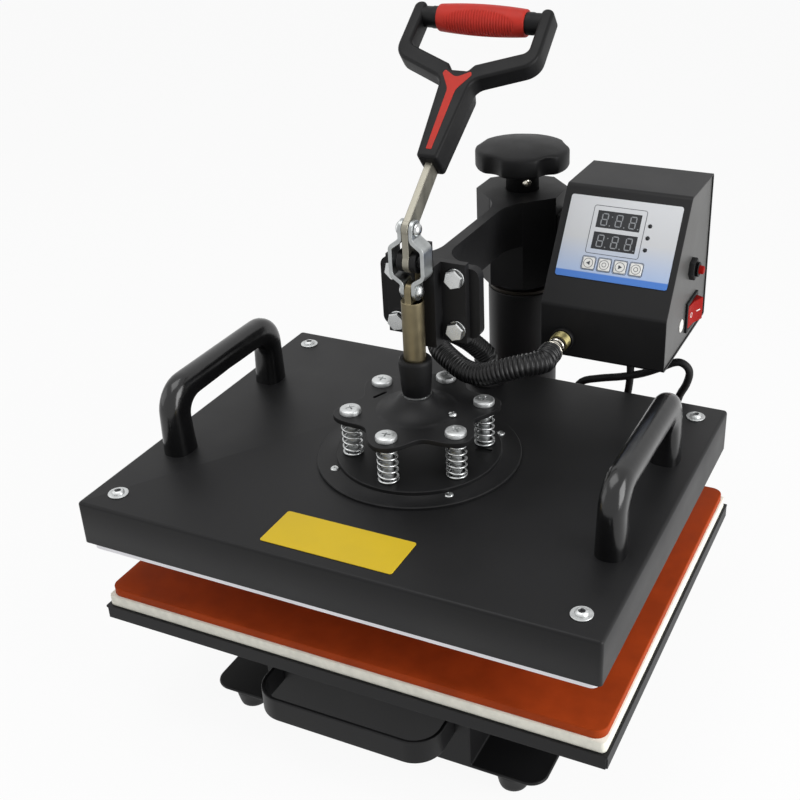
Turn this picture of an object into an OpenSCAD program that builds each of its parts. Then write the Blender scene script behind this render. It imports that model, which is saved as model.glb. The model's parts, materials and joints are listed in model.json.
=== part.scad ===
// Swing-away combo heat press: sprung heater head on a toggle lever, over a padded table.
// Millimetres, +X right, +Y back, +Z up, origin on the floor under the middle of the press.

/* [Base] */
// Height of each rubber foot
foot_h = 16; // [10:1:24]
// Top diameter of each rubber foot
foot_d = 28; // [20:1:34]
// Outside width of the base channel
base_w = 172; // [150:2:190]
// Length of the base channel from front to back
base_len = 364; // [350:2:400]
// Height of the base channel above the feet
base_h = 78; // [60:1:90]
// Width of each foot flange beside the channel
flange_w = 56; // [40:1:64]
// Corner radius of the foot flanges
flange_r = 14; // [4:1:20]
// Thickness of the base sheet
base_t = 3; // [2:0.5:4]
// Distance of the base's back end behind the column
base_behind = 44; // [40:1:60]
// Width of the front pull handle
pull_w = 148; // [110:2:160]
// Reach of the pull handle in front of the base
pull_reach = 40; // [30:1:44]
// Height of the pull handle's strip
pull_h = 20; // [12:1:26]
// Thickness of the pull handle's strip
pull_t = 3; // [2:0.5:5]
// Height of the pull handle's lower edge above the floor
pull_z = 46; // [30:1:60]
// Corner radius of the pull handle
pull_r = 22; // [10:1:28]

/* [Table] */
// Sideways place of the table and base from the ram
table_x = 3; // [0:0.5:6]
// Distance of the table's middle behind the ram
table_back = 9; // [4:0.5:12]
// Height of the rails between base and table
rail_h = 10; // [10:0.5:16]
// Width of each table rail from front to back
rail_d = 30; // [20:1:50]
// Distance of each rail's middle from the table's edge
rail_inset = 60; // [40:1:90]
// Distance of each rail's end inside the base's side
rail_side = 8; // [4:1:20]
// Table width
tray_w = 402; // [398:1:410]
// Table depth
tray_d = 316; // [313:1:318]
// Table sheet thickness
tray_t = 2; // [1.5:0.5:3]
// Depth of the table's folded skirt
skirt_h = 9; // [5:0.5:9]
// Felt pad thickness
felt_h = 9; // [5:0.5:12]
// Inset of the felt pad from the table's edge
felt_inset = 2; // [1:0.5:4]
// Silicone pad thickness
pad_h = 7; // [4:0.5:9]
// Inset of the silicone pad from the felt's edge
pad_inset = 1.5; // [0.5:0.5:4]
// Corner radius of the silicone pad
pad_r = 9; // [6:1:16]

/* [Heater head] */
// Distance of the ram in front of the origin
ram_front = 47; // [40:1:54]
// Open gap between the heater and the silicone pad
open_gap = 40; // [40:0.5:50]
// Gap between the heater platen's edge and the cover's wall
heater_gap = 2; // [1.5:0.5:6]
// Thickness of the heater platen
heater_h = 16; // [14:0.5:18]
// Height of the head's cover
cover_h = 37; // [34:0.5:42]
// Width of the head's cover
cover_w = 400; // [394:1:404]
// Depth of the head's cover
cover_d = 310; // [304:1:314]
// Thickness of the cover's sheet
cover_t = 1.5; // [1:0.5:2.5]
// Distance that the heater stands out below the cover
heater_proud = 4; // [2:0.5:6]
// Thickness of the insulation over the heater
wool_h = 16; // [12:0.5:17]
// Diameter of the heating tube
tube_d = 8; // [6:0.5:9]
// Inset of the cover's corner screws from its edges
corner_inset = 21; // [18:0.5:26]
// Diameter of the screws and threads in the cover's corners
corner_screw_d = 5; // [4:0.5:6]
// Diameter of the corner screws' washers
corner_washer_d = 15; // [12:0.5:18]
// Thickness of the corner screws' washers
corner_washer_t = 1; // [0.8:0.1:1.5]
// Diameter of the corner screws' heads
corner_head_d = 9.5; // [8:0.5:11]
// Height of the corner screws' heads
corner_head_h = 2.5; // [2:0.5:3]
// Diameter of the spring seat's screws
seat_screw_d = 4; // [3:0.5:4]
// Diameter of the spring seat's screw heads
seat_head_d = 6.6; // [5.6:0.2:6.8]
// Height of the spring seat's screw heads
seat_head_h = 1.4; // [1:0.1:1.8]
// Diameter of the spring seat on the cover
seat_d = 156; // [140:1:160]
// Thickness of the spring seat's rim
seat_t = 2.5; // [1.5:0.5:4]
// Diameter of the spring seat's raised middle
seat_mid_d = 126; // [118:1:128]
// Height of the raised middle above the rim
seat_mid_h = 3.5; // [1:0.5:4]
// Pitch circle of the spring screws
spring_pcd = 100; // [96:1:102]
// Outside diameter of each spring
spring_d = 16; // [13:0.5:17]
// Wire diameter of each spring
spring_wire = 1.8; // [1.2:0.1:2]
// Turns of each spring
spring_turns = 6; // [4:0.5:7]
// Length of each spring as fitted
spring_len = 30; // [28:0.5:36]
// Thickness of the star plate
star_t = 4; // [3:0.5:6]
// Radius of each lobe of the star plate
lobe_r = 13; // [11:0.5:14]
// Diameter of the spring screws
spring_screw_d = 8; // [6:0.5:8]
// Diameter of the spring screws' heads
spring_head_d = 16; // [13:0.5:17]
// Height of the spring screws' heads
spring_head_h = 4.5; // [3:0.5:5]

/* [Lift handles and plate] */
// Distance of each lift handle from the ram
lift_x = 175; // [165:1:180]
// Outside length of each lift handle
lift_len = 154; // [130:1:170]
// Height of each lift handle
lift_h = 60; // [50:1:70]
// Width of each lift handle's leg
lift_leg = 25; // [18:1:28]
// Depth of each lift handle's grip
lift_bar = 21; // [16:1:24]
// Thickness of each lift handle from side to side
lift_t = 22; // [16:1:26]
// Width of the plain plate on the cover
plate_w = 102; // [80:1:120]
// Depth of the plain plate on the cover
plate_d = 38; // [28:1:44]
// Distance of the plate's middle in front of the ram
plate_front = 125; // [118:1:128]
// Thickness of the plate
plate_t = 0.6; // [0.4:0.1:1]

/* [Toggle] */
// Crank length from the fixed pivot to the upper link pivot
crank = 24; // [22:0.5:26]
// Length of the link straps between their pivots
link_len = 46.5; // [44:0.5:50]
// Height of the link's lower pivot above the star plate
link_low = 95.5; // [94:0.5:104]
// Travel of the lever in degrees
lever_turn = 140; // [130:1:145]
// Backward lean of the lever from upright
lever_lean = 51; // [45:1:55]
// Thickness of the lever bar
lever_t = 5; // [4.5:0.5:6]
// Width of the lever bar
lever_w = 14; // [12:0.5:14]
// Diameter of the pivot pins
pin_d = 8; // [6:0.5:9]
// Thickness of the link straps
strap_t = 3; // [2:0.5:3.5]
// Width of the link straps
strap_w = 13.5; // [13:0.5:14]
// Inside half width of the straps' bulge
bulge_in = 11; // [10.5:0.5:13]
// Radius of the fixed pivot's lugs
lug_r = 8; // [6.5:0.5:8]
// Thickness of the fixed pivot's lugs
lug_t = 4.5; // [3:0.5:4.5]
// Diameter of the push rod
rod_d = 16.5; // [16:0.5:18]
// Distance of the rod's rail head behind the ram
rail_back = 14; // [13:0.5:15]
// Thickness of the rail's head
rail_t = 5; // [4:0.5:6]
// Width of the rail's neck
rail_neck = 6; // [4:0.5:7]
// Width of the rail's head
rail_head = 12; // [10:0.5:14]
// Diameter of the collar round the rod
collar_d = 25.5; // [24:0.5:28]
// Height of the collar above the star plate
collar_h = 46; // [36:1:47]

/* [Handle] */
// Distance from the upper link pivot to the neck of the handle
neck_start = 50; // [45:1:56]
// Distance from the upper link pivot to the fork of the handle
fork_at = 125.5; // [122:0.5:129]
// Distance from the upper link pivot to the grip
grip_at = 176; // [172:1:184]
// Half width of the handle at its lower bends
yoke_half = 54.5; // [53:0.5:60]
// Distance of the lower bends below the grip
bend_below = 35; // [32:1:38]
// Rise of the handle's arms above the grip's middle
arm_rise = 8.5; // [7.5:0.5:11]
// Radius of the handle's arms
yoke_r = 5.25; // [5:0.25:6]
// Thickness of the handle's arms
yoke_t = 16; // [14:0.5:18]
// Thickness of the handle's neck
neck_t = 22.5; // [22:0.5:26]
// Distance of the neck's middle in front of the bar's middle
neck_fwd = 3; // [2:0.5:3]
// Half width of the neck at its lower end
neck_r = 8; // [7.5:0.5:9]
// Length of the red grip
grip_len = 70; // [60:1:74]
// Largest diameter of the red grip
grip_d = 24; // [21:0.5:27]
// Diameter of the handle's grip core
core_d = 12; // [9:0.5:13]
// Diameter of the ferrules beside the grip
ferrule_d = 16.5; // [15:0.5:18]
// Depth of the inlay in the neck
inlay_t = 1.5; // [1:0.5:2.5]
// Width of the inlay
inlay_w = 5; // [4:0.5:7]

/* [Column and arm] */
// Distance of the column behind the ram
column_back = 208; // [206:1:216]
// Diameter of the column
column_d = 60; // [56:1:62]
// Wall of the column's tube
column_wall = 5; // [4:0.5:8]
// Height of the column's shoulder above the base
column_h = 168; // [150:1:180]
// Diameter of the column's foot flange
column_foot_d = 76; // [70:1:78]
// Thickness of the column's foot flange
column_foot_t = 8; // [6:0.5:12]
// Diameter of the pivot shaft
shaft_d = 40; // [36:1:42]
// Length of the pivot shaft above the shoulder
shaft_len = 69; // [64:1:72]
// Thickness of the thrust washer
washer_t = 3; // [2:0.5:4]
// Outside diameter of the swing sleeve
sleeve_d = 50; // [48:0.5:54]
// Width of the sleeve's key
key_w = 8; // [6:0.5:10]
// Width of the hub across its flats
hub_af = 72; // [70:1:78]
// Height of the hub
hub_h = 77; // [74:1:84]
// Rest gap between the thrust washer and the hub
hub_rest = 7; // [6:0.5:9]
// Thickness of the hub's top wall
hub_top_t = 12; // [10:0.5:14]
// Thickness of the arm's web
web_t = 9; // [7:0.5:11]
// Height of the arm's web
web_h = 38; // [32:1:48]
// Half width of the arm's front flange
face_half = 40; // [36:0.5:44]
// Height of the arm's front flange
face_h = 55; // [52:1:58]
// Thickness of the arm's front flange
face_t = 8; // [6:0.5:12]
// Corner radius of the arm's front flange
face_r = 7; // [4:0.5:10]
// Distance of the flange's front behind the ram
face_back = 28; // [27:0.5:32]
// Half spacing of the flange bolts from side to side
bolt_half_x = 24; // [22:0.5:24.5]
// Vertical spacing of the flange bolts
bolt_gap_z = 41; // [36:1:42]
// Diameter of the flange bolts
bolt_d = 8; // [6:0.5:8]
// Radius of the fillets where the web meets the flange
web_fillet = 28; // [16:1:28]
// Radius of the flares where the web meets the hub
web_flare = 40; // [30:1:44]

/* [Pressure knob] */
// Diameter of the pressure knob
knob_d = 80; // [76:1:90]
// Height of the knob's rim
knob_h = 17; // [14:1:20]
// Rise of the knob's crown above its rim
knob_crown = 5; // [3:0.5:7]
// Number of flutes in the knob's rim
knob_flutes = 5; // [4:1:8]
// Diameter of the knob's neck
knob_neck_d = 28; // [24:1:32]
// Length of the knob's neck
knob_neck_h = 20; // [16:0.5:24]
// Depth that the knob's neck stands in the hub's top
knob_sink = 1; // [0.5:0.5:1.5]
// Diameter of the knob's spindle
spindle_d = 16; // [12:0.5:18]

/* [Control box] */
// Distance of the box's left side from the ram
box_left = 60; // [58:1:64]
// Width of the control box
box_w = 100; // [98:1:106]
// Distance of the box's front behind the ram
box_front = 99; // [97:1:103]
// Depth of the control box
box_d = 119; // [114:1:124]
// Depth of the box's flat top
box_top_d = 63; // [58:1:68]
// Height of the control box
box_h = 122; // [118:1:128]
// Height of the box's upright lower front
box_low_h = 43; // [40:1:46]
// Thickness of the box's sheet
box_t = 1.5; // [1:0.5:2]
// Height of the box's floor above the cover's top
box_up = 52; // [50:1:58]
// Recess of the box's end plates
end_recess = 1; // [0.5:0.5:2]
// Width of the face label
label_w = 89; // [86:1:92]
// Height of the face label
label_h = 65; // [63:1:68]
// Thickness of the face label
label_t = 0.8; // [0.5:0.1:1]
// Distance of the label below the panel's upper bend
label_down = 8.5; // [7:0.5:10]
// Width of the display window
window_w = 38; // [34:1:40]
// Height of the display window
window_h = 33; // [30:1:34]
// Width of the heater relay
relay_w = 28; // [20:1:29]
// Depth of the heater relay
relay_d = 54; // [40:1:60]
// Height of the heater relay
relay_h = 28; // [20:1:30]
// Distance of the relay inside the box's left side
relay_in = 12; // [6:1:20]
// Distance of the relay behind the box's front
relay_back = 45; // [40:1:50]
// Side of each square key
key_side = 9.4; // [8:0.2:10]
// Spacing of the keys
key_pitch = 12.6; // [12:0.1:13]
// Travel of each key
key_travel = 0.6; // [0.4:0.1:0.8]
// Length of the power switch's bezel, from front to back
bezel_len = 31; // [30:0.5:34]
// Height of the power switch's bezel
bezel_w = 25.5; // [24:0.5:28]
// Radius of the rocker about its pivot
rocker_r = 12.8; // [12.4:0.2:12.8]
// Height of the rocker
rocker_w = 19; // [17:0.5:20]
// Diameter of the reset button
reset_d = 6.8; // [5:0.2:7.4]
// Diameter of the reset button's bushing
reset_bush_d = 12; // [11:0.5:13]
// Travel of the reset button
reset_travel = 3; // [2:0.5:3]

/* [Hose and mains lead] */
// Crest diameter of the ribbed hose
hose_d = 18; // [16:0.5:18.5]
// Depth of the hose's ribs
rib_depth = 1.6; // [1:0.1:2]
// Bore of the ribbed hose
hose_bore = 10; // [8:0.5:11]
// Ribs on the hose
hose_ribs = 54; // [30:1:60]
// Diameter of the mains lead
lead_d = 6.5; // [6:0.1:6.6]
// Radius of the lead's coil at the middle of its turns
coil_r = 36; // [34:0.5:40]
// Turns in each of the coil's two layers
coil_turns = 2; // [2:1:3]
// Gap between the coil's turns
coil_gap = 0.7; // [0.6:0.1:1]
// Width of the plug
plug_w = 26; // [22:1:30]
// Length of the plug's body
plug_len = 34; // [28:1:40]
// Straight run of the lead from the coil to the plug
plug_run = 26; // [24:1:36]

/* [Clearances] */
// Radial clearance of running fits
run_fit = 0.05; // [0.03:0.01:0.08]
// Clearance between parts that pass each other
pass_gap = 0.3; // [0.2:0.05:0.4]
// Radial clearance of screws in their holes
screw_gap = 0.2; // [0.1:0.05:0.3]

/* [Hidden] */
$fn = 48;
tiny = 0.01;

black = "#2b2b2d";
zinc = "#b4b6b4";
brass_zinc = "#9a8f6e";
steel = "#c9c9c8";

// Heights, from the floor up
base_top = foot_h + base_h;
tray_under = base_top + rail_h;
tray_top = tray_under + tray_t;
felt_top = tray_top + felt_h;
pad_top = felt_top + pad_h;
heater_low = pad_top + open_gap;
cover_low = heater_low + heater_proud;
cover_top = cover_low + cover_h;
heater_top = heater_low + heater_h;
boss_top = cover_top - cover_t;
seat_top = cover_top + seat_t + seat_mid_h;
star_low = seat_top + spring_len;
star_top = star_low + star_t;

// Places seen from above
ram_y = -ram_front;
table_y = ram_y + table_back;
column_y = ram_y + column_back;
base_y = column_y + base_behind - base_len / 2;
heater_w = cover_w - 2 * (cover_t + heater_gap);
heater_d = cover_d - 2 * (cover_t + heater_gap);
corner_x = cover_w / 2 - corner_inset;
corner_y = cover_d / 2 - corner_inset;

// Toggle pivots, on the ram's line
c_z = star_top + link_low;
b_z = c_z + link_len;
a_z = b_z - crank;
shoulder_z = c_z - strap_w / 2 - 1;
strap_in = lever_t / 2 + pass_gap;
lug_in = lever_t / 2 + pass_gap;
arm_fwd = neck_fwd + (neck_t - yoke_t) / 2;
neck_front = neck_fwd + neck_t / 2;
turned_b_y = -crank * sin(lever_turn);
turned_b_z = crank * cos(lever_turn);
turned_c_z = turned_b_z - sqrt(link_len * link_len - turned_b_y * turned_b_y);
press_travel = (crank - link_len) - turned_c_z;
link_lean = asin(-turned_b_y / link_len);

// Column, hub and arm
shoulder_top = base_top + column_h;
washer_top = shoulder_top + washer_t;
shaft_top = shoulder_top + shaft_len;
hub_low = washer_top + hub_rest;
hub_top = hub_low + hub_h;
face_y = ram_y + face_back;
face_top = hub_top;
bolt_z_mid = face_top - 26.5;
block_half = 12.5;
block_front = ram_y + rail_back - 3;
plate_low = face_top - 57;
plate_top = face_top + 5;
slide_low = star_top + collar_h + 1;
block_top = a_z + lug_r;
plate_half = 32;
plate_t_block = 6;
knob_low = hub_top - knob_sink;
knob_recess = knob_sink + 5;
rim_low = knob_low + knob_neck_h;
rim_top = rim_low + knob_h;

// Control box
box_y = ram_y + box_front;
box_z = cover_top + box_up;
box_right = box_left + box_w;
bend_y = box_y + box_d - box_top_d;
bend_z = box_z + box_h;
low_z = box_z + box_low_h;
panel_angle = atan2(bend_z - low_z, bend_y - box_y);
panel_mid_x = box_left + box_w / 2;
label_mid_x = panel_mid_x + 0.5;
window_x = label_mid_x - 3.2;
window_down = label_down + 9;
keys_down = label_down + 52.5;
keys_x = window_x + 2.4 - 1.5 * key_pitch;
leds_x = window_x + window_w / 2 + 6;
leds_down = window_down + 9;
led_pitch = 9.4;
led_d = 3;
board_z = -9;
board_t = 1.6;
end_right = box_right - end_recess;
rocker_y = ram_y + 173.5;
rocker_z = cover_top + 72.5;
rocker_set = 13;
rocker_tip = [5, 11.8];
rocker_mid = 3.4;
reset_y = ram_y + 167;
reset_z = cover_top + 112;
reset_out = 7;
socket_x = box_left + 19;
socket_z = box_z + 16;
socket_len = 27;
socket_nut_len = 9;
gland_x = box_left + 51;
gland_y = box_y + 76;
gland_len = 22;
gland_tip = box_z - gland_len;

// Hose and lead routes, chosen by hand
hose_start = [socket_x, box_y - socket_len, socket_z];
hose_end_xy = [0, ram_y + 128];
hose_drop = 16;
hose_gland_h = 8;
hose_route = [
  hose_start, hose_start - [0, hose_d / 2, 0], hose_start - [0, hose_d, 0],
  [68, -4, 271], [52, -9, 266], [37, -9, 260], [22, -6, 258.7], [7, 0, 262], [-7, 9, 265.5],
  [-15, 22, 267], [-19, 38, 265], [-18, 54, 258], [-12, 68, 246.5], [-5, 77, 235],
  [hose_end_xy[0], hose_end_xy[1], cover_top + hose_gland_h + hose_drop],
  [hose_end_xy[0], hose_end_xy[1], cover_top + hose_gland_h + hose_drop / 2],
  [hose_end_xy[0], hose_end_xy[1], cover_top + hose_gland_h]
];
coil_at = [30, 266];
coil_z = lead_d / 2;
coil_step = lead_d + coil_gap;
coil_out = coil_r + coil_step * coil_turns / 2;
lead_route = [
  [gland_x, gland_y, gland_tip], [gland_x, gland_y, gland_tip - lead_d / 2],
  [gland_x, gland_y, gland_tip - lead_d],
  [111, 129, 205], [108, 131, 182], [98, 133, 162], [82, 134, 153], [66, 134, 160], [59, 133, 178],
  [67, 131, 193], [84, 129, 199], [104, 128, 205], [122, 127, 212], [139, 126, 221],
  [151, 126, 230], [159, 126, 232], [163, 127, 226], [158, 128, 212],
  [151, 131, 190], [147, 138, 150], [145, 154, 105], [140, 180, 65],
  [129, 206, 36], [112, 224, 14], [93, 234, 5],
  [78, 246, coil_z], [coil_at[0] + coil_out, coil_at[1] - lead_d, coil_z]
];

// Plan shape with round corners, centred
module rounded(w, d, r) {
  square([w - 2 * r, d], center = true);
  square([w, d - 2 * r], center = true);
  for (x = [-1, 1], y = [-1, 1]) translate([x * (w / 2 - r), y * (d / 2 - r)]) circle(r);
}

// Plate with round corners, its underside at z
module plate(w, d, h, r, z) {
  translate([0, 0, z]) linear_extrude(h) rounded(w, d, r);
}

// Side profile, drawn in Y and Z, made width wide from x
module side(x, width) {
  translate([x, 0, 0]) rotate([90, 0, 90]) linear_extrude(width) children();
}

// Cylinder along X, centred on y and z
module across(x, width, y, z, d) {
  translate([x, y, z]) rotate([0, 90, 0]) cylinder(h = width, d = d);
}

// Children placed on the slanted panel: x along it, down from its upper bend, z outward
module on_panel(x, down) {
  translate([x, bend_y, bend_z]) rotate([panel_angle, 0, 0]) translate([0, -down, 0]) children();
}

// Children placed on the right end plate, x outward and y up the box's slope
module on_side(y, z) {
  translate([end_right, y, z]) children();
}

// Children placed along the lever: y away from the upper link pivot, z forward
module on_lever() {
  translate([0, ram_y, b_z]) rotate([90 - lever_lean, 0, 0]) children();
}

function unit(v) = v / norm(v);

// Convex outline moved inward by t, for an outline that runs anticlockwise
function inward(p, t) = [
  for (i = [0 : len(p) - 1])
    let (
      a = p[(i + len(p) - 1) % len(p)], b = p[i], c = p[(i + 1) % len(p)],
      u = unit(b - a), v = unit(c - b),
      n = [-u[1], u[0]], m = [-v[1], v[0]]
    ) b + t * (n + m) / (1 + n * m)
];

// Point on a smooth curve through four points
function curve_point(a, b, c, d, t) =
  ((2 * b) + (c - a) * t + (2 * a - 5 * b + 4 * c - d) * t * t + (3 * b - a - 3 * c + d) * t * t * t) / 2;

// Smooth curve through a route, steps points in each stretch
function smooth(route, steps) = concat(
  [
    for (i = [0 : len(route) - 2], s = [0 : steps - 1])
      curve_point(
        route[max(i - 1, 0)], route[i], route[i + 1], route[min(i + 2, len(route) - 1)], s / steps
      )
  ],
  [route[len(route) - 1]]
);

// Distances along a line of points
function distances(p, i = 0, so_far = 0) =
  i >= len(p) ? [] :
  let (d = so_far + (i > 0 ? norm(p[i] - p[i - 1]) : 0))
    concat([d], distances(p, i + 1, d));

// The line with its points evenly spaced, count steps in all
function spaced(p, count) =
  let (d = distances(p), last = len(p) - 1) [
    for (i = [0 : count])
      [for (axis = [0 : 2]) lookup(d[last] * i / count, [for (k = [0 : last]) [d[k], p[k][axis]]])]
  ];

// Directions along a line of points
function headings(p) = [
  for (i = [0 : len(p) - 1]) unit(p[min(i + 1, len(p) - 1)] - p[max(i - 1, 0)])
];

// Sideways directions that turn as little as they can along the headings
function sideways(t, n, i = 0) =
  i >= len(t) ? [] : let (s = unit(n - (n * t[i]) * t[i])) concat([s], sideways(t, s, i + 1));

// Rings round a line of points: radii holds one radius for each point
function rings(p, radii, sides, n) =
  let (t = headings(p), s = sideways(t, n)) [
    for (i = [0 : len(p) - 1])
      let (b = cross(t[i], s[i]))
        [for (k = [0 : sides - 1]) p[i] + radii[i] * (cos(360 * k / sides) * s[i] + sin(360 * k / sides) * b)]
  ];

// Triangles between each ring and the next
function skin(count, sides, closed = false) = [
  for (i = [0 : count - (closed ? 1 : 2)], k = [0 : sides - 1], half = [0, 1])
    let (
      a = i * sides + k, b = i * sides + (k + 1) % sides,
      c = ((i + 1) % count) * sides + k, d = ((i + 1) % count) * sides + (k + 1) % sides
    ) half == 0 ? [a, c, b] : [b, c, d]
];

// Triangles that close the first and the last ring
function caps(count, sides) = [
  for (k = [1 : sides - 2], e = [0, 1])
    e == 0 ? [0, k, k + 1] : [(count - 1) * sides, (count - 1) * sides + k + 1, (count - 1) * sides + k]
];

// Tube of radius r along points p
module tube(p, r, sides, n) {
  loops = rings(p, [for (q = p) r], sides, n);
  polyhedron(
    points = [for (l = loops, q = l) q],
    faces = concat(skin(len(p), sides), caps(len(p), sides))
  );
}

// Least distance between two stretches of one tube that lie over skip points apart
function least_gap(p, d, skip) = min([
  for (i = [0 : len(p) - 1 - skip]) min([for (j = [i + skip : len(p) - 1]) norm(p[i] - p[j])])
]) - d;

// Centre line of one spring, its ends a quarter turn flat
function spring_line() =
  let (rise = spring_len - spring_wire - 2 * pass_gap, steps = 8 * spring_turns) [
    for (i = [0 : steps])
      [
        (spring_d - spring_wire) / 2 * cos(45 * i), (spring_d - spring_wire) / 2 * sin(45 * i),
        spring_wire / 2 + pass_gap + rise * i / steps
      ]
  ];

// Centre line of the coil: a layer that spirals in, a climb over half a turn, a layer that spirals out
function coil_line() =
  let (steps = 48 * coil_turns, top = steps / 2) concat(
    [[coil_at[0] + coil_out, coil_at[1] - lead_d, coil_z]],
    [
      for (i = [0 : steps])
        let (
          a = 15 * i, r = coil_out - coil_step * (top - abs(i - top)) / 24,
          climb = min(max((i - top + 6) / 12, 0), 1)
        ) [coil_at[0] + r * cos(a), coil_at[1] + r * sin(a), coil_z + coil_step * climb]
    ],
    [[coil_at[0] + coil_out, coil_at[1] + plug_run, coil_z + coil_step]]
  );

echo(spring_gap = least_gap(spring_line(), spring_wire, 5));
echo(coil_gap = least_gap(coil_line(), lead_d, 12));
echo(press_travel = press_travel, link_lean = link_lean);

// Base sheet folded to a channel with foot flanges
module base_frame() {
  color(black) translate([table_x, base_y, 0]) {
    difference() {
      plate(base_w + 2 * flange_w, base_len, base_t, flange_r, foot_h);
      translate([0, 0, foot_h - 1]) linear_extrude(base_t + 2)
        square([base_w - 2 * base_t, base_len - 2 * base_t], center = true);
    }
    difference() {
      translate([-base_w / 2, -base_len / 2, foot_h + base_t]) cube([base_w, base_len, base_h - base_t]);
      translate([-base_w / 2 + base_t, -base_len / 2 + base_t, foot_h])
        cube([base_w - 2 * base_t, base_len - 2 * base_t, base_h - base_t]);
    }
  }
}

module rubber_feet() {
  foot_x = (base_w + flange_w) / 2;
  foot_y = base_len / 2 - foot_d / 2 - 1;
  color("#1c1c1c") for (x = [-1, 1], y = [-1, 1])
    translate([table_x + x * foot_x, base_y + y * foot_y, 0])
      cylinder(h = foot_h, d1 = foot_d - 6, d2 = foot_d);
}

// Bent strip on the front of the base
module pull_handle() {
  front = base_y - base_len / 2;
  color(black) translate([table_x, front, pull_z]) linear_extrude(pull_h) difference() {
    rounded(pull_w, 2 * pull_reach, pull_r);
    rounded(pull_w - 2 * pull_t, 2 * (pull_reach - pull_t), pull_r - pull_t);
    translate([-pull_w, 0]) square([2 * pull_w, 2 * pull_reach]);
  }
}

module table_rails() {
  rail_y = tray_d / 2 - rail_inset;
  color(black) for (y = [-1, 1])
    translate([table_x - base_w / 2 + rail_side, table_y + y * rail_y - rail_d / 2, base_top])
      cube([base_w - 2 * rail_side, rail_d, rail_h]);
}

// Folded sheet with skirts that stop short of the corners
module lower_tray() {
  notch = 1.2;
  color(black) translate([table_x, table_y, 0]) {
    translate([-tray_w / 2, -tray_d / 2, tray_under]) cube([tray_w, tray_d, tray_t]);
    for (y = [-tray_d / 2, tray_d / 2 - tray_t])
      translate([-tray_w / 2 + notch, y, tray_under - skirt_h]) cube([tray_w - 2 * notch, tray_t, skirt_h]);
    for (x = [-tray_w / 2, tray_w / 2 - tray_t])
      translate([x, -tray_d / 2 + notch, tray_under - skirt_h]) cube([tray_t, tray_d - 2 * notch, skirt_h]);
  }
}

module felt_pad() {
  color("#d9dbd0") translate([table_x, table_y, 0])
    plate(tray_w - 2 * felt_inset, tray_d - 2 * felt_inset, felt_h, 4, tray_top);
}

module silicone_pad() {
  inset = felt_inset + pad_inset;
  color("#a0451f") translate([table_x, table_y, 0])
    plate(tray_w - 2 * inset, tray_d - 2 * inset, pad_h, pad_r, felt_top);
}

// Tube with a foot flange, a shoulder and a pivot shaft
module column() {
  color(black) translate([0, column_y, 0]) difference() {
    union() {
      translate([0, 0, base_top]) cylinder(h = column_foot_t, d = column_foot_d);
      translate([0, 0, base_top]) cylinder(h = column_h, d = column_d);
      translate([0, 0, base_top]) cylinder(h = column_h + shaft_len, d = shaft_d);
    }
    translate([0, 0, base_top - 1]) cylinder(h = column_h - 11, d = column_d - 2 * column_wall);
  }
}

module mains_coil() {
  color("#1b1b1b") tube(coil_line(), lead_d / 2, 6, [1, 0, 0]);
}

module mains_lead() {
  color("#1b1b1b") tube(smooth(lead_route, 2), lead_d / 2, 8, [1, 0, 0]);
}

// Moulded plug with a tapered tail and two flat pins
module mains_plug() {
  tail = 16;
  high = 2 * (coil_z + coil_step);
  color("#1b1b1b") translate([coil_at[0] + coil_out, coil_at[1] + plug_run, high / 2]) rotate([-90, 0, 0]) {
    cylinder(h = tail, d1 = lead_d + 3, d2 = 13);
    translate([0, 0, tail]) linear_extrude(plug_len) rounded(plug_w, high, 5);
    for (x = [-6.5, 6.5]) translate([x - 3, -0.8, tail + plug_len]) cube([6, 1.6, 17]);
  }
}

module thrust_washer() {
  color("#a98748") translate([0, column_y, shoulder_top]) difference() {
    cylinder(h = washer_t, d = column_d - 2);
    translate([0, 0, -1]) cylinder(h = washer_t + 2, d = shaft_d + 2 * run_fit);
  }
}

// Sleeve that turns on the shaft, with a key for the hub
module swing_sleeve() {
  high = shaft_top - washer_top;
  color(steel) translate([0, column_y, washer_top]) difference() {
    union() {
      cylinder(h = high, d = sleeve_d);
      translate([-key_w / 2, -sleeve_d / 2 - 4, 14]) cube([key_w, 8, high - 20]);
    }
    translate([0, 0, -1]) cylinder(h = high + 2, d = shaft_d + 2 * run_fit);
  }
}

// Octagon hub, web and front flange in one casting
module swing_arm() {
  hub_front = column_y - hub_af / 2;
  back = face_y + face_t;
  color(black) difference() {
    union() {
      translate([0, column_y, hub_low]) rotate(22.5) cylinder(h = hub_h, d = hub_af / cos(22.5), $fn = 8);
      translate([-web_t / 2, back, hub_top - web_h]) cube([web_t, hub_front - back + 4, web_h]);
      translate([0, back, face_top - face_h / 2]) rotate([90, 0, 0])
        linear_extrude(face_t) rounded(2 * face_half, face_h, face_r);
      for (x = [0, 1]) mirror([x, 0, 0]) {
        translate([web_t / 2, back, hub_top - web_h]) linear_extrude(web_h) corner(web_fillet);
        translate([0, hub_front, hub_top - web_h]) linear_extrude(web_h) hub_flare();
      }
    }
    translate([0, column_y, hub_low - 1]) cylinder(h = hub_h - hub_top_t + 1, d = sleeve_d + 2 * run_fit);
    translate([0, column_y, hub_low]) cylinder(h = hub_h + 1, d = spindle_d + 2 * run_fit);
    translate([0, column_y, hub_top - knob_recess])
      cylinder(h = knob_recess + 1, d = knob_neck_d + 2 * pass_gap);
    translate([-key_w / 2 - pass_gap, column_y - sleeve_d / 2 - 4 - pass_gap, hub_low - 1])
      cube([key_w + 2 * pass_gap, sleeve_d / 2, hub_h - hub_top_t + 1]);
    flange_bolt_places() translate([0, 0, -1]) cylinder(h = 2 * face_t, d = bolt_d + 2 * screw_gap);
  }
}

// Inside corner of a fillet with radius r
module corner(r) {
  difference() {
    square(r);
    translate([r, r]) circle(r);
  }
}

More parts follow.
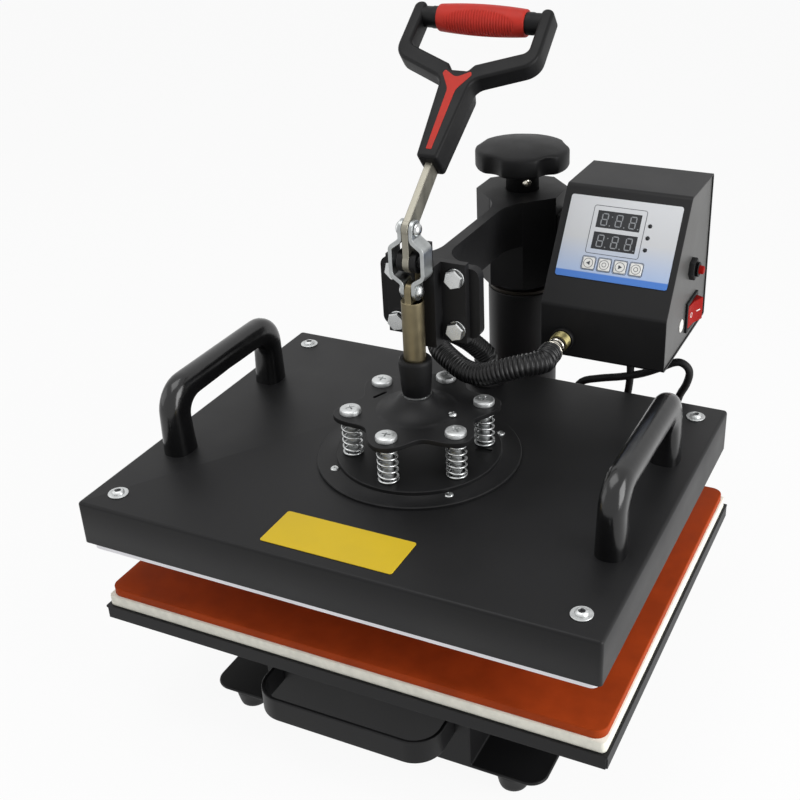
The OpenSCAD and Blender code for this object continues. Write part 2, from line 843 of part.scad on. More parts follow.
// Flare from the web's side to the hub's slanted face, sunk a little into the hub
module hub_flare() {
  sink = 0.4;
  low = web_t / 2 - hub_af / 2 * tan(22.5) - web_flare * tan(22.5) + sink;
  difference() {
    translate([0, low]) square([(web_t + web_flare) / 2, web_flare * sin(45)]);
    translate([web_t / 2 + web_flare, low]) circle(web_flare);
  }
}

// Places of the four flange bolts, z pointing back from the flange's front
module flange_bolt_places() {
  for (x = [-1, 1], z = [-1, 1])
    translate([x * bolt_half_x, face_y, bolt_z_mid + z * bolt_gap_z / 2]) rotate([-90, 0, 0]) children();
}

rail_top = a_z - lug_r - 3;
rail_low = star_top + collar_h + 3;

// Slide block with a tee slot for the push rod's rail and lugs for the lever's fixed pivot
module guide_block() {
  slot_neck = rail_neck / 2 + pass_gap;
  slot_head = rail_head / 2 + pass_gap;
  slot_low = slide_low - 1;
  cheek = lug_in + lug_t;
  cheek_d = 10;
  color(black) difference() {
    union() {
      translate([-block_half, block_front, slide_low])
        cube([2 * block_half, face_y - block_front, plate_top - slide_low]);
      translate([-cheek, block_front, plate_top - 1]) cube([2 * cheek, cheek_d, block_top - plate_top + 1]);
      translate([-plate_half, face_y - plate_t_block, plate_low])
        cube([2 * plate_half, plate_t_block, plate_top - plate_low]);
      for (x = [-cheek, lug_in]) {
        across(x, lug_t, ram_y, a_z, 2 * lug_r);
        translate([x, ram_y, a_z - lug_r]) cube([lug_t, block_front - ram_y + 1, 2 * lug_r]);
      }
    }
    translate([-slot_neck, block_front - 1, slot_low]) cube([2 * slot_neck, 8, block_top - slot_low + 1]);
    translate([-slot_head, ram_y + rail_back - pass_gap, slot_low])
      cube([2 * slot_head, rail_t + 2 * pass_gap, a_z - lug_r - slot_low]);
    across(-50, 100, ram_y, a_z, pin_d + 2 * screw_gap / 4);
    flange_bolt_places() translate([0, 0, -20]) cylinder(h = 40, d = bolt_d + 2 * screw_gap);
  }
}

// Hex bolts that hold the guide block on the arm's flange
module bracket_bolts() {
  head_h = 5.5;
  color(zinc) flange_bolt_places() {
    translate([0, 0, -plate_t_block - head_h]) cylinder(h = head_h, d = 15, $fn = 6);
    translate([0, 0, -plate_t_block - 1]) cylinder(h = plate_t_block + face_t + 1, d = bolt_d);
  }
}

module pivot_pin() {
  half = lug_in + lug_t;
  color(steel) across(-half, 2 * half, ram_y, a_z, pin_d);
}

// Bracket between hub and control box
module box_bracket() {
  reach = box_left + end_recess - hub_af / 2;
  color(black) translate([hub_af / 2, column_y - 13, hub_low + 12]) cube([reach, 20, 50]);
}

// Outline of the control box from the side, in Y and Z
function box_outline() = [
  [box_y, box_z], [box_y + box_d, box_z], [box_y + box_d, bend_z], [bend_y, bend_z], [box_y, low_z]
];

module box_shell() {
  color(black) difference() {
    side(box_left, box_w) polygon(box_outline());
    side(box_left - 1, box_w + 2) polygon(inward(box_outline(), box_t));
    panel_holes(-2 * box_t, 3 * box_t);
    translate([socket_x, box_y - 1, socket_z]) rotate([-90, 0, 0])
      cylinder(h = box_t + 2, d = 14 + 2 * screw_gap);
    translate([gland_x, gland_y, box_z - 1]) cylinder(h = box_t + 2, d = 12 + 2 * screw_gap);
  }
}

// Holes for the display, the lamps and the keys, from z to z + high on the slanted panel
module panel_holes(z, high) {
  on_panel(window_x, window_down + window_h / 2) translate([-window_w / 2, -window_h / 2, z])
    cube([window_w, window_h, high]);
  for (i = [0 : 2])
    on_panel(leds_x, leds_down + i * led_pitch) translate([0, 0, z])
      cylinder(h = high, d = led_d + 2 * screw_gap);
  hole = key_side + 2 * pass_gap;
  for (i = [0 : 3])
    on_panel(keys_x + i * key_pitch, keys_down) translate([-hole / 2, -hole / 2, z]) cube([hole, hole, high]);
}

// Flat end plates inside the box's sheet
module box_end_plates() {
  color("#4a4a4b") for (x = [box_left + end_recess, end_right - box_t]) difference() {
    side(x, box_t) polygon(inward(box_outline(), box_t));
    on_side(rocker_y, rocker_z) translate([-10, -bezel_len / 2 + 1, -bezel_w / 2 + 1])
      cube([20, bezel_len - 2, bezel_w - 2]);
    across(end_right - 10, 20, reset_y, reset_z, reset_bush_d + 2 * screw_gap);
  }
}

module face_label() {
  color("#b9c6d8") difference() {
    on_panel(label_mid_x, label_down + label_h / 2) plate(label_w, label_h, label_t, 2, 0);
    panel_holes(-1, label_t + 2);
  }
}

// Two stacked three-digit displays and three lamps
module display_module() {
  edge = pass_gap;
  color("#2d2f33") {
    on_panel(window_x, window_down + window_h / 2)
      translate([-window_w / 2 + edge, -window_h / 2 + edge, board_z])
        cube([window_w - 2 * edge, window_h - 2 * edge, label_t - 0.2 - board_z]);
    for (i = [0 : 2])
      on_panel(leds_x, leds_down + i * led_pitch) translate([0, 0, board_z])
        cylinder(h = label_t - board_z, d = led_d);
  }
}

// Board behind the panel on four spacers, with a push switch under each key
module circuit_board() {
  wide = label_w - 4;
  switch_h = 2;
  color("#2f5b3a") {
    on_panel(label_mid_x, label_down + label_h / 2) {
      translate([-wide / 2, -label_h / 2, board_z - board_t]) cube([wide, label_h, board_t]);
      for (x = [-1, 1], y = [-1, 1])
        translate([x * (wide / 2 - 4), y * (label_h / 2 - 4), board_z - tiny])
          cylinder(h = -board_z - box_t + tiny, d = 5);
    }
    for (i = [0 : 3])
      on_panel(keys_x + i * key_pitch, keys_down) translate([-3, -3, board_z - tiny])
        cube([6, 6, switch_h + tiny]);
  }
}

// Heater relay on the box's floor
module relay_block() {
  color("#3d3d40") translate([box_left + relay_in, box_y + relay_back, box_z + box_t])
    cube([relay_w, relay_d, relay_h]);
}

// Frame and trough of the power switch
module rocker_bezel() {
  depth = 16;
  color("#161616") on_side(rocker_y, rocker_z) difference() {
    union() {
      translate([0, -bezel_len / 2, -bezel_w / 2]) cube([2, bezel_len, bezel_w]);
      translate([-depth, -bezel_len / 2 + 1.2, -bezel_w / 2 + 1.2])
        cube([depth + 1, bezel_len - 2.4, bezel_w - 2.4]);
    }
    translate([0, 0, -rocker_w / 2 - pass_gap])
      cylinder(h = rocker_w + 2 * pass_gap, r = rocker_r + pass_gap);
  }
}

// Rocker cut to a shallow vee, with its back end out
module rocker_switch() {
  color("#b3261f") on_side(rocker_y, rocker_z) rotate(-rocker_set)
    linear_extrude(rocker_w, center = true) intersection() {
      circle(rocker_r);
      polygon([[-14, -14], [rocker_tip[0], -14], [rocker_tip[0], -rocker_tip[1]], [rocker_mid, 0],
        rocker_tip, [rocker_tip[0], 14], [-14, 14]]);
    }
}

// Threaded bushing and nut of the reset button
module reset_bushing() {
  color("#161616") difference() {
    union() {
      across(end_right - 9, 9 + reset_out, reset_y, reset_z, reset_bush_d);
      translate([end_right, reset_y, reset_z]) rotate([0, 90, 0]) cylinder(h = 3, d = 18, $fn = 6);
    }
    across(end_right - 7, 20, reset_y, reset_z, reset_d + 4 * run_fit);
  }
}

module reset_button() {
  color("#c0271f") across(end_right - 3.5, 3.5 + reset_out + 3.6, reset_y, reset_z, reset_d);
}

// Round panel socket that holds the hose
module hose_socket() {
  color("#b9ad86") translate([socket_x, box_y, socket_z]) rotate([90, 0, 0]) {
    translate([0, 0, -8]) cylinder(h = 8, d = 14);
    cylinder(h = 4, d = 18);
    cylinder(h = socket_len, d = 12);
    translate([0, 0, socket_len - socket_nut_len]) cylinder(h = socket_nut_len, d = 15);
  }
}

// Tapered strain relief under the box
module cord_gland() {
  color("#1b1b1b") translate([gland_x, gland_y, 0]) {
    translate([0, 0, gland_tip]) cylinder(h = gland_len, d1 = lead_d + 2.5, d2 = 14);
    translate([0, 0, box_z]) cylinder(h = box_t + 3, d = 12);
    translate([0, 0, box_z + box_t]) cylinder(h = 3, d = 17);
  }
}

// Ribbed hose with an open bore, from the box's socket to the cover
module heater_hose() {
  count = 2 * hose_ribs;
  points = spaced(smooth(hose_route, 12), count);
  crest = [for (i = [0 : count]) hose_d / 2 - (i % 2) * rib_depth];
  bore = [for (i = [0 : count]) hose_bore / 2];
  outer = rings(points, crest, 8, [0, 0, 1]);
  inner = rings(points, bore, 8, [0, 0, 1]);
  loops = concat(outer, [for (i = [0 : count]) inner[count - i]]);
  color("#1a1a1a") polyhedron(points = [for (l = loops, q = l) q], faces = skin(len(loops), 8, true));
}

// Fluted knob with a shallow crown and a neck
module pressure_knob() {
  crown_r = (knob_d * knob_d / 4 + knob_crown * knob_crown) / (2 * knob_crown);
  color(black) translate([0, column_y, 0]) difference() {
    union() {
      translate([0, 0, knob_low]) cylinder(h = knob_neck_h + 1, d = knob_neck_d);
      intersection() {
        translate([0, 0, rim_low]) linear_extrude(knob_h + knob_crown) difference() {
          circle(d = knob_d);
          for (i = [0 : knob_flutes - 1]) rotate(180 + 360 / knob_flutes * i)
            translate([knob_d / 2 + 13, 0]) circle(17);
        }
        translate([0, 0, rim_top + knob_crown - crown_r]) sphere(crown_r);
      }
    }
    translate([0, 0, knob_low - 1]) cylinder(h = knob_neck_h + 9, d = spindle_d + 2 * run_fit);
  }
}

// Screw of the knob: its tip bears on the shaft and its thread runs in the hub's top
module knob_spindle() {
  low = shaft_top + pass_gap;
  color(steel) translate([0, column_y, low]) cylinder(h = knob_low + knob_neck_h + 7 - low, d = spindle_d);
}

// Flat bar, upright below the upper link pivot and leaning back above it
module lever_bar() {
  tip = fork_at - 12;
  color(zinc) side(-lever_t / 2, lever_t) translate([ram_y, b_z]) difference() {
    union() {
      translate([0, -crank]) circle(lug_r + 0.4);
      circle(d = lever_w + 0.8);
      translate([-lever_w / 2, -crank]) square([lever_w, crank]);
      rotate(90 - lever_lean) translate([0, -lever_w / 2]) square([tip, lever_w]);
    }
    translate([0, -crank]) circle(d = pin_d + 2 * run_fit);
    circle(d = pin_d + 2 * run_fit);
  }
}

// Outline of the inlay on the neck, along the lever, grown by extra
module inlay_shape(extra) {
  low = neck_start + 6.5;
  high = fork_at - 9;
  w = inlay_w / 2 + extra;
  translate([-w, low - extra]) square([2 * w, high - low + 2 * extra]);
  for (x = [-1, 1]) hull() {
    translate([0, high]) circle(w, $fn = 24);
    translate([x * 9, high + 6]) circle(w * 0.8, $fn = 24);
  }
}

// Fork and neck moulded over the lever's end, with a core for the grip
module handle_yoke() {
  bend = grip_at - bend_below;
  top_half = yoke_half - 4;
  grip_end = grip_len / 2 + pass_gap;
  color("#262626") on_lever() difference() {
    union() {
      translate([0, 0, neck_front - neck_t]) linear_extrude(neck_t) hull() {
        translate([0, neck_start + neck_r / 2]) square([2 * neck_r, neck_r], center = true);
        translate([0, fork_at - 8]) circle(neck_r + 4.5);
      }
      translate([0, 0, arm_fwd - yoke_t / 2]) linear_extrude(yoke_t) for (x = [-1, 1]) {
        hull() {
          translate([x * 4, fork_at - 4]) circle(yoke_r);
          translate([x * (yoke_half - 4), bend]) circle(yoke_r);
        }
        hull() {
          translate([x * (yoke_half - 4), bend]) circle(yoke_r);
          translate([x * top_half, grip_at + arm_rise - yoke_r]) circle(yoke_r);
        }
      }
      across(-top_half, 2 * top_half, grip_at, arm_fwd, core_d);
      for (x = [0, 1]) mirror([x, 0, 0])
        across(grip_end, top_half - yoke_r + 0.5 - grip_end, grip_at, arm_fwd, ferrule_d);
    }
    translate([-lever_t / 2 - run_fit, neck_start - 1, -lever_w / 2 - run_fit])
      cube([lever_t + 2 * run_fit, fork_at - 11 - neck_start, lever_w + 2 * run_fit]);
    translate([0, 0, neck_front - inlay_t]) linear_extrude(inlay_t + 1) inlay_shape(run_fit);
  }
}

// Red barrel grip on the core
module handle_grip() {
  barrel_r = 200;
  color("#c5433a") on_lever() translate([0, grip_at, arm_fwd]) rotate([0, 90, 0])
    rotate_extrude() intersection() {
      translate([grip_d / 2 - barrel_r, 0]) circle(barrel_r, $fn = 360);
      translate([core_d / 2 + run_fit, -grip_len / 2]) square([grip_d, grip_len]);
    }
}

module handle_inlay() {
  color("#c5433a") on_lever()
    translate([0, 0, neck_front - inlay_t]) linear_extrude(inlay_t) inlay_shape(0);
}

// Pin through the lever and both straps
module link_pin() {
  half = strap_in + strap_t;
  color(steel) {
    across(-half - 4, 2 * half + 8, ram_y, b_z, pin_d);
    for (x = [-half - pass_gap - 4, half + pass_gap]) across(x, 4, ram_y, b_z, 13);
  }
}

// Front edge of one strap, in X and Z, with the bulge that clears the lugs
function strap_outline() =
  let (
    i = strap_in, o = bulge_in, t = strap_t,
    top = b_z + strap_w / 2, bend_a = b_z - 7.5, bend_b = b_z - 13.4,
    low = c_z - strap_w / 2, bend_c = c_z + 12.5, bend_d = c_z + 7
  ) [
    [i, low], [i + t, low], [i + t, bend_d - 1], [o + t, bend_c - 1], [o + t, bend_b + 1],
    [i + t, bend_a + 1], [i + t, top], [i, top],
    [i, bend_a - 1], [o, bend_b - 1], [o, bend_c + 1], [i, bend_d + 1]
  ];

// Two bent straps with round ends
module link_straps() {
  color(zinc) for (m = [0, 1]) mirror([m, 0, 0]) difference() {
    intersection() {
      translate([0, ram_y + strap_w / 2, 0]) rotate([90, 0, 0])
        linear_extrude(strap_w) polygon(strap_outline());
      union() {
        for (z = [b_z, c_z]) across(0, 50, ram_y, z, strap_w);
        translate([0, ram_y - strap_w / 2, c_z]) cube([50, strap_w, link_len]);
      }
    }
    across(-1, 50, ram_y, b_z, pin_d + 2 * run_fit);
    across(-1, 50, ram_y, c_z, pin_d + 2 * run_fit);
  }
}

// Stub rivets in the straps' lower ends, clear of the rod's tongue
module strap_rivets() {
  color(steel) for (m = [0, 1]) mirror([m, 0, 0]) {
    across(strap_in, strap_t + 1, ram_y, c_z, pin_d);
    across(strap_in + strap_t, 3.5, ram_y, c_z, 13);
  }
}

// Round rod with a tongue above its shoulder and a tee rail behind
module push_rod() {
  low = star_top;
  color(brass_zinc) {
    translate([0, ram_y, low]) cylinder(h = shoulder_z - low, d = rod_d);
    translate([-lever_t / 2, ram_y - rod_d / 2 + 1, shoulder_z - 1])
      cube([lever_t, rod_d - 2, c_z - shoulder_z + 1]);
    across(-lever_t / 2, lever_t, ram_y, c_z, rod_d - 2);
    translate([-rail_neck / 2, ram_y, rail_low]) cube([rail_neck, rail_back, shoulder_z - rail_low]);
    translate([-rail_neck / 2, block_front + pass_gap, rail_low])
      cube([rail_neck, ram_y + rail_back + 1 - block_front - pass_gap, rail_top - rail_low]);
    translate([-rail_head / 2, ram_y + rail_back, rail_low]) cube([rail_head, rail_t, rail_top - rail_low]);
  }
}

module rod_collar() {
  color("#1d1d1d") translate([0, ram_y, star_top]) difference() {
    cylinder(h = collar_h, d1 = collar_d - 2, d2 = collar_d);
    translate([0, 0, -1]) cylinder(h = collar_h + 2, d = rod_d + 2 * run_fit);
  }
}

// Places of the six spring screws
module spring_places() {
  for (i = [0 : 5]) translate([0, ram_y, 0]) rotate(30 + 60 * i) translate([spring_pcd / 2, 0, 0]) children();
}

// Six-lobed plate under the rod
module star_plate() {
  color(black) difference() {
    translate([0, 0, star_low]) linear_extrude(star_t) union() {
      translate([0, ram_y]) circle(spring_pcd / 2 - 2);
      for (i = [0 : 5]) translate([0, ram_y]) rotate(30 + 60 * i) {
        translate([spring_pcd / 2, 0]) circle(lobe_r);
        translate([spring_pcd / 2 - 16, -lobe_r]) square([16, 2 * lobe_r]);
      }
    }
    spring_places() translate([0, 0, star_low - 1])
      cylinder(h = star_t + 2, d = spring_screw_d + 2 * pass_gap);
  }
}

// Folded sheet box, open below
module platen_cover() {
  color(black) difference() {
    translate([0, ram_y, 0]) plate(cover_w, cover_d, cover_h, 2.5, cover_low);
    translate([0, ram_y, 0])
      plate(cover_w - 2 * cover_t, cover_d - 2 * cover_t, cover_h, 1.2, cover_low - cover_t);
    corner_places() translate([0, 0, cover_low])
      cylinder(h = cover_h + 1, d = corner_screw_d + 2 * screw_gap);
    spring_places() translate([0, 0, cover_low])
      cylinder(h = cover_h + 1, d = spring_screw_d + 2 * screw_gap);
    translate([hose_end_xy[0], hose_end_xy[1], cover_low]) cylinder(h = cover_h + 1, d = 13);
    seat_screw_places() translate([0, 0, cover_low])
      cylinder(h = cover_h + 1, d = seat_screw_d + 2 * screw_gap);
  }
}

module corner_places() {
  for (x = [-1, 1], y = [-1, 1]) translate([x * corner_x, ram_y + y * corner_y, 0]) children();
}

corner_reach = (boss_top - heater_top) / 2 + cover_t;
seat_screw_r = (seat_d + seat_mid_d) / 4 - 2.4;

module seat_screw_places() {
  for (i = [0 : 3]) translate([0, ram_y, 0]) rotate(45 + 90 * i) translate([seat_screw_r, 0, 0]) children();
}

// Button screws with washers in the corners, small screws in the spring seat
module cover_screws() {
  color(steel) {
    corner_places() {
      translate([0, 0, cover_top]) cylinder(h = corner_washer_t, d = corner_washer_d);
      translate([0, 0, cover_top + corner_washer_t - tiny])
        cylinder(h = corner_head_h + tiny, d1 = corner_head_d, d2 = corner_head_d - corner_head_h);
      translate([0, 0, cover_top - corner_reach])
        cylinder(h = corner_reach + corner_washer_t, d = corner_screw_d);
    }
    seat_screw_places() {
      translate([0, 0, cover_top + seat_t])
        cylinder(h = seat_head_h, d1 = seat_head_d, d2 = seat_head_d - seat_head_h);
      translate([0, 0, cover_top - 2 * cover_t])
        cylinder(h = seat_t + 2 * cover_t + seat_head_h / 2, d = seat_screw_d);
    }
  }
}

// Two moulded bow handles
module lift_handles() {
  color("#1d1d1e") for (x = [-1, 1]) intersection() {
    side(x * lift_x - lift_t / 2, lift_t) translate([ram_y, cover_top]) difference() {
      rounded(lift_len, 2 * lift_h, 26);
      rounded(lift_len - 2 * lift_leg, 2 * (lift_h - lift_bar), 12);
    }
    translate([-cover_w, ram_y - lift_len, cover_top]) cube([2 * cover_w, 2 * lift_len, lift_h + 1]);
  }
}

// Round seat for the springs, screwed to the cover
module spring_seat() {
  color("#232325") difference() {
    union() {
      translate([0, ram_y, cover_top]) cylinder(h = seat_t, d = seat_d);
      translate([0, ram_y, cover_top]) cylinder(h = seat_t + seat_mid_h, d = seat_mid_d);
    }
    spring_places() translate([0, 0, cover_top - 1])
      cylinder(h = seat_t + seat_mid_h + 2, d = spring_screw_d + 2 * screw_gap);
    seat_screw_places() translate([0, 0, cover_top - 1])
      cylinder(h = seat_t + 2, d = seat_screw_d + 2 * screw_gap);
  }
}

// Screws that hang the heater from the star plate
module spring_screws() {
  color(steel) spring_places() {
    translate([0, 0, star_top]) cylinder(h = spring_head_h - 1.5, d = spring_head_d);
    translate([0, 0, star_top + spring_head_h - 1.5])
      cylinder(h = 1.5, d1 = spring_head_d, d2 = spring_head_d - 4);
    translate([0, 0, heater_top - 10]) cylinder(h = star_top - heater_top + 11, d = spring_screw_d);
  }
}

module springs() {
  color("#c6c6c4") spring_places()
    translate([0, 0, seat_top]) tube(spring_line(), spring_wire / 2, 6, [1, 0, 0]);
}

// Cast plate with bosses for the cover, blind screw holes and a groove for the heating tube
module heater_platen() {
  color("#d6d3d0") difference() {
    union() {
      translate([0, ram_y, 0]) plate(heater_w, heater_d, heater_h, 6, heater_low);
      corner_places() translate([0, 0, heater_top - 1]) cylinder(h = boss_top - heater_top + 1, d = 16);
    }
    corner_places() translate([0, 0, heater_top]) cylinder(h = cover_h, d = corner_screw_d + 2 * screw_gap);
    spring_places() translate([0, 0, heater_top - 10.3]) cylinder(h = 20, d = spring_screw_d + 2 * screw_gap);
    heating_path(tube_d + 2 * screw_gap);
    translate([0, 0, tube_d / 2]) heating_path(tube_d + 2 * screw_gap);
  }
}

// Hairpin of round tube round the platen, with its ends at the back
module heating_path(d) {
  half_w = heater_w / 2 - 50;
  half_d = heater_d / 2 - 40;
  bend_r = 24;
  end_half = 20;
  translate([0, ram_y, heater_top - tube_d / 2 - 1]) {
    translate([-half_w + bend_r, -half_d, 0]) rotate([0, 90, 0]) cylinder(h = 2 * (half_w - bend_r), d = d);
    for (x = [0, 1]) mirror([x, 0, 0]) {
      translate([half_w, -half_d + bend_r, 0]) rotate([-90, 0, 0]) cylinder(h = 2 * (half_d - bend_r), d = d);
      translate([end_half, half_d, 0]) rotate([0, 90, 0]) cylinder(h = half_w - bend_r - end_half, d = d);
      translate([half_w - bend_r, half_d - bend_r, 0])
        rotate_extrude(angle = 90) translate([bend_r, 0]) circle(d = d);
      translate([half_w - bend_r, -half_d + bend_r, 0]) rotate(-90)
        rotate_extrude(angle = 90) translate([bend_r, 0]) circle(d = d);
    }
  }
}

module heating_tube() {
  color("#8c8a86") heating_path(tube_d);
}

module insulation() {
  color("#e4dfcf") difference() {
    translate([0, ram_y, 0]) plate(heater_w - 14, heater_d - 14, wool_h, 6, heater_top);
    corner_places() translate([0, 0, heater_top - 1]) cylinder(h = wool_h + 2, d = 20);
    spring_places() translate([0, 0, heater_top - 1]) cylinder(h = wool_h + 2, d = spring_screw_d + 2);
  }
}

// Ring that holds the hose on the cover
module hose_gland() {
  color("#1d1d1e") translate([hose_end_xy[0], hose_end_xy[1], cover_top]) difference() {
    union() {
      cylinder(h = 3, d = 28);
      cylinder(h = hose_gland_h, d = 23);
    }
    translate([0, 0, -1]) cylinder(h = hose_gland_h + 2, d = hose_bore);
  }
}

module plain_plate() {
  color("#dcb92b") translate([0, ram_y - plate_front, 0]) plate(plate_w, plate_d, plate_t, 2, cover_top);
}

// One square key with a stem towards its switch
module panel_key(i) {
  cap_low = -1;
  color("#c9c9c5") on_panel(keys_x + i * key_pitch, keys_down) {
    translate([-key_side / 2, -key_side / 2, cap_low]) cube([key_side, key_side, label_t + 0.5 - cap_low]);
    translate([0, 0, -7 + key_travel + 0.2]) cylinder(h = 7, d = 4);
  }
}

base_frame();
rubber_feet();
pull_handle();
table_rails();
lower_tray();
felt_pad();
silicone_pad();
column();
mains_coil();
mains_lead();
mains_plug();
thrust_washer();
swing_sleeve();
swing_arm();
guide_block();
bracket_bolts();
pivot_pin();
box_bracket();
box_shell();
box_end_plates();
face_label();
display_module();
circuit_board();
relay_block();
rocker_bezel();
reset_bushing();
hose_socket();
cord_gland();
heater_hose();
pressure_knob();
knob_spindle();
lever_bar();
handle_yoke();
handle_grip();
handle_inlay();
link_pin();
link_straps();
strap_rivets();
push_rod();
rod_collar();
star_plate();
platen_cover();
cover_screws();
lift_handles();
spring_seat();
spring_screws();
springs();
heater_platen();
heating_tube();
insulation();
hose_gland();
plain_plate();
panel_key(0);  // key_down
panel_key(1);  // key_set
panel_key(2);  // key_up
panel_key(3);  // key_start
rocker_switch();
reset_button();
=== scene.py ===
"""Finished surfaces, cords and stage of a swing-away heat press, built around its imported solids."""

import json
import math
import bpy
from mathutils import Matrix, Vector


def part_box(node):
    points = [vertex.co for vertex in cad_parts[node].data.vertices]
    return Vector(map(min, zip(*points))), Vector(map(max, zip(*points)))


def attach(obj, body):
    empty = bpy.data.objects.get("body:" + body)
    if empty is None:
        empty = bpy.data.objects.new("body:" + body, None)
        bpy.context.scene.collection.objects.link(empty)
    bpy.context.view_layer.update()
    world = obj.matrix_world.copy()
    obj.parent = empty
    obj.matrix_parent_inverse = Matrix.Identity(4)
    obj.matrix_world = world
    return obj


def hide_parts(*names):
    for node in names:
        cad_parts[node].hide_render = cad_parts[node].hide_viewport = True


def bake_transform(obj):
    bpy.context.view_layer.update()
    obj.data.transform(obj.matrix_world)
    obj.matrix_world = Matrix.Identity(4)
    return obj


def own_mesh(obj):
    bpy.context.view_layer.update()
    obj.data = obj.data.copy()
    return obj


bl_info = {
    "name": "Swing-away heat press",
    "version": (1, 0, 0),
    "blender": (4, 5, 0),
    "location": "3D View > Sidebar > Heat press",
    "description": "Builds the finishes, mouldings, fasteners, cords and stage of a swing-away heat press",
    "category": "Object",
}

import bmesh
import bpy
from bpy.props import FloatProperty, FloatVectorProperty, IntProperty, PointerProperty
from mathutils import Matrix, Vector

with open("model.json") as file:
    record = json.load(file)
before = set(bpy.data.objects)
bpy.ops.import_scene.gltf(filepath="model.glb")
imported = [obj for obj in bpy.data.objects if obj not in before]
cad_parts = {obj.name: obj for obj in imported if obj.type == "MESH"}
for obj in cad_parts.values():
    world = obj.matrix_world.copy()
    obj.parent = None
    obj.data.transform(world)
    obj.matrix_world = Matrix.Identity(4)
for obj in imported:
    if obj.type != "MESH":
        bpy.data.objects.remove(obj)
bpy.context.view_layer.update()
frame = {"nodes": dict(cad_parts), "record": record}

MM = 0.001
TINY = 1e-6
CREASE = 38
PHOTO_SIDE = 800


def span(node):
    """Lowest and highest corner of a solid, in millimetres."""
    low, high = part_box(node)
    return low / MM, high / MM


def middle(node):
    """Middle of a solid's box, in millimetres."""
    low, high = span(node)
    return (low + high) / 2


def height_of(node):
    """Height of a solid, in millimetres."""
    low, high = span(node)
    return high.z - low.z


def body_of(node):
    """Name of the moving body that a solid belongs to."""
    for body, nodes in frame["record"]["behaviour"]["bodies"].items():
        if node in nodes:
            return body
    raise KeyError(node)


def turned(degrees, axis="Z"):
    """Turn about one axis."""
    return Matrix.Rotation(math.radians(degrees), 4, axis)


def linear(code):
    """Linear red, green, blue and alpha of an sRGB hex colour."""
    parts = [int(code[i : i + 2], 16) / 255 for i in (1, 3, 5)]
    return [c / 12.92 if c <= 0.04045 else ((c + 0.055) / 1.055) ** 2.4 for c in parts] + [1.0]


def colour(name, description, code):
    """Colour property whose default is an sRGB hex value."""
    return FloatVectorProperty(
        name=name, description=description, subtype="COLOR", size=4, min=0, max=1, default=linear(code)
    )


def length(name, description, millimetres):
    """Length property whose default is in millimetres."""
    return FloatProperty(name=name, description=description, unit="LENGTH", default=millimetres * MM, min=0)


# Places that several pieces share, in millimetres and degrees
COVER_LOW, COVER_HIGH = span("platen_cover")
RAM_Y = (COVER_LOW.y + COVER_HIGH.y) / 2
RAM = Matrix.Translation((0, RAM_Y, 0))
STAR_LOW, STAR_HIGH = span("star_plate")
SEAT_LOW, SEAT_HIGH = span("spring_seat")
SEAT_STEP = 3.5
COLUMN_Y = middle("pressure_knob").y
LEVER_LEAN = 51
LEVER = Matrix.Translation((0, RAM_Y, middle("link_pin").z)) @ turned(90 - LEVER_LEAN, "X")
SHEET = 1.5
# Sets an outline drawn in Y and Z upright, and makes it solid along X
SIDEWAYS = Matrix(((0, 0, 1, 0), (1, 0, 0, 0), (0, 1, 0, 0), (0, 0, 0, 1)))

# Control box, its slanted panel and what is on it, in millimetres along and down the slope
BOX_LOW, BOX_HIGH = span("box_shell")
BOX_TOP_DEPTH = 63
BOX_FRONT_HEIGHT = 43
BEND_Y = BOX_HIGH.y - BOX_TOP_DEPTH
BEND_Z = BOX_HIGH.z
PANEL_ANGLE = math.atan2(BEND_Z - BOX_LOW.z - BOX_FRONT_HEIGHT, BEND_Y - BOX_LOW.y)
END_FACE = BOX_HIGH.x - 1
LABEL_LOW, LABEL_HIGH = span("face_label")
LABEL_X = (LABEL_LOW.x + LABEL_HIGH.x) / 2
LABEL_WIDTH = LABEL_HIGH.x - LABEL_LOW.x
LABEL_HEIGHT = 65
LABEL_DOWN = 8.5
LABEL_THICK = 0.8
DISPLAY_WIDTH = 38
DISPLAY_HEIGHT = 14.6
DISPLAY_DOWNS = (25.6, 42.6)
DISPLAY_FACE = LABEL_THICK - 0.35
DISPLAY_X = LABEL_X - 3.2
LAMP_DOWNS = (26.5, 35.9, 45.3)
LAMP_X = DISPLAY_X + 25
KEY_NODES = ("key_down", "key_set", "key_up", "key_start")
KEY_DOWN = 61
KEY_SIDE = 9.4
KEY_TOP = LABEL_THICK + 0.5


class PressColours(bpy.types.PropertyGroup):
    """Colours of the finishes"""

    coat: colour("Powder coat", "Satin black coat of the castings and sheets", "#161617")
    plastic: colour("Black plastic", "Moulded knob, fork and fittings", "#0e0e0f")
    gloss: colour("Gloss plastic", "Polished black lift handles", "#0d0d0e")
    rubber: colour("Rubber", "Feet, cord jacket and hose", "#121213")
    red: colour("Grip red", "Grip and inlay of the main handle", "#c0352b")
    switch: colour("Switch red", "Power rocker and reset button", "#94150f")
    silicone: colour("Silicone", "Baked silicone pad", "#a54017")
    felt: colour("Felt", "Heat-resistant felt under the pad", "#f8f6e9")
    zinc: colour("Zinc", "Bright zinc plate of screws, springs", "#c4c6c6")
    strap: colour("Strip zinc", "Dull zinc plate of the lever bar", "#8c897e")
    rod: colour("Yellow zinc", "Chromated push rod", "#786f58")
    platen: colour("Cast aluminium", "Machined heater platen", "#e2e1e5")
    label_top: colour("Label top", "Upper end of the panel film", "#c9cbce")
    label_low: colour("Label foot", "Lower end of the panel film", "#a3b7d8")
    label_band: colour("Label band", "Band along the foot of the panel film", "#3f76c6")
    keys: colour("Keys", "Metallised key caps", "#cfcfcc")
    plate: colour("Yellow plate", "Plain plate on the cover", "#dcbc2c")


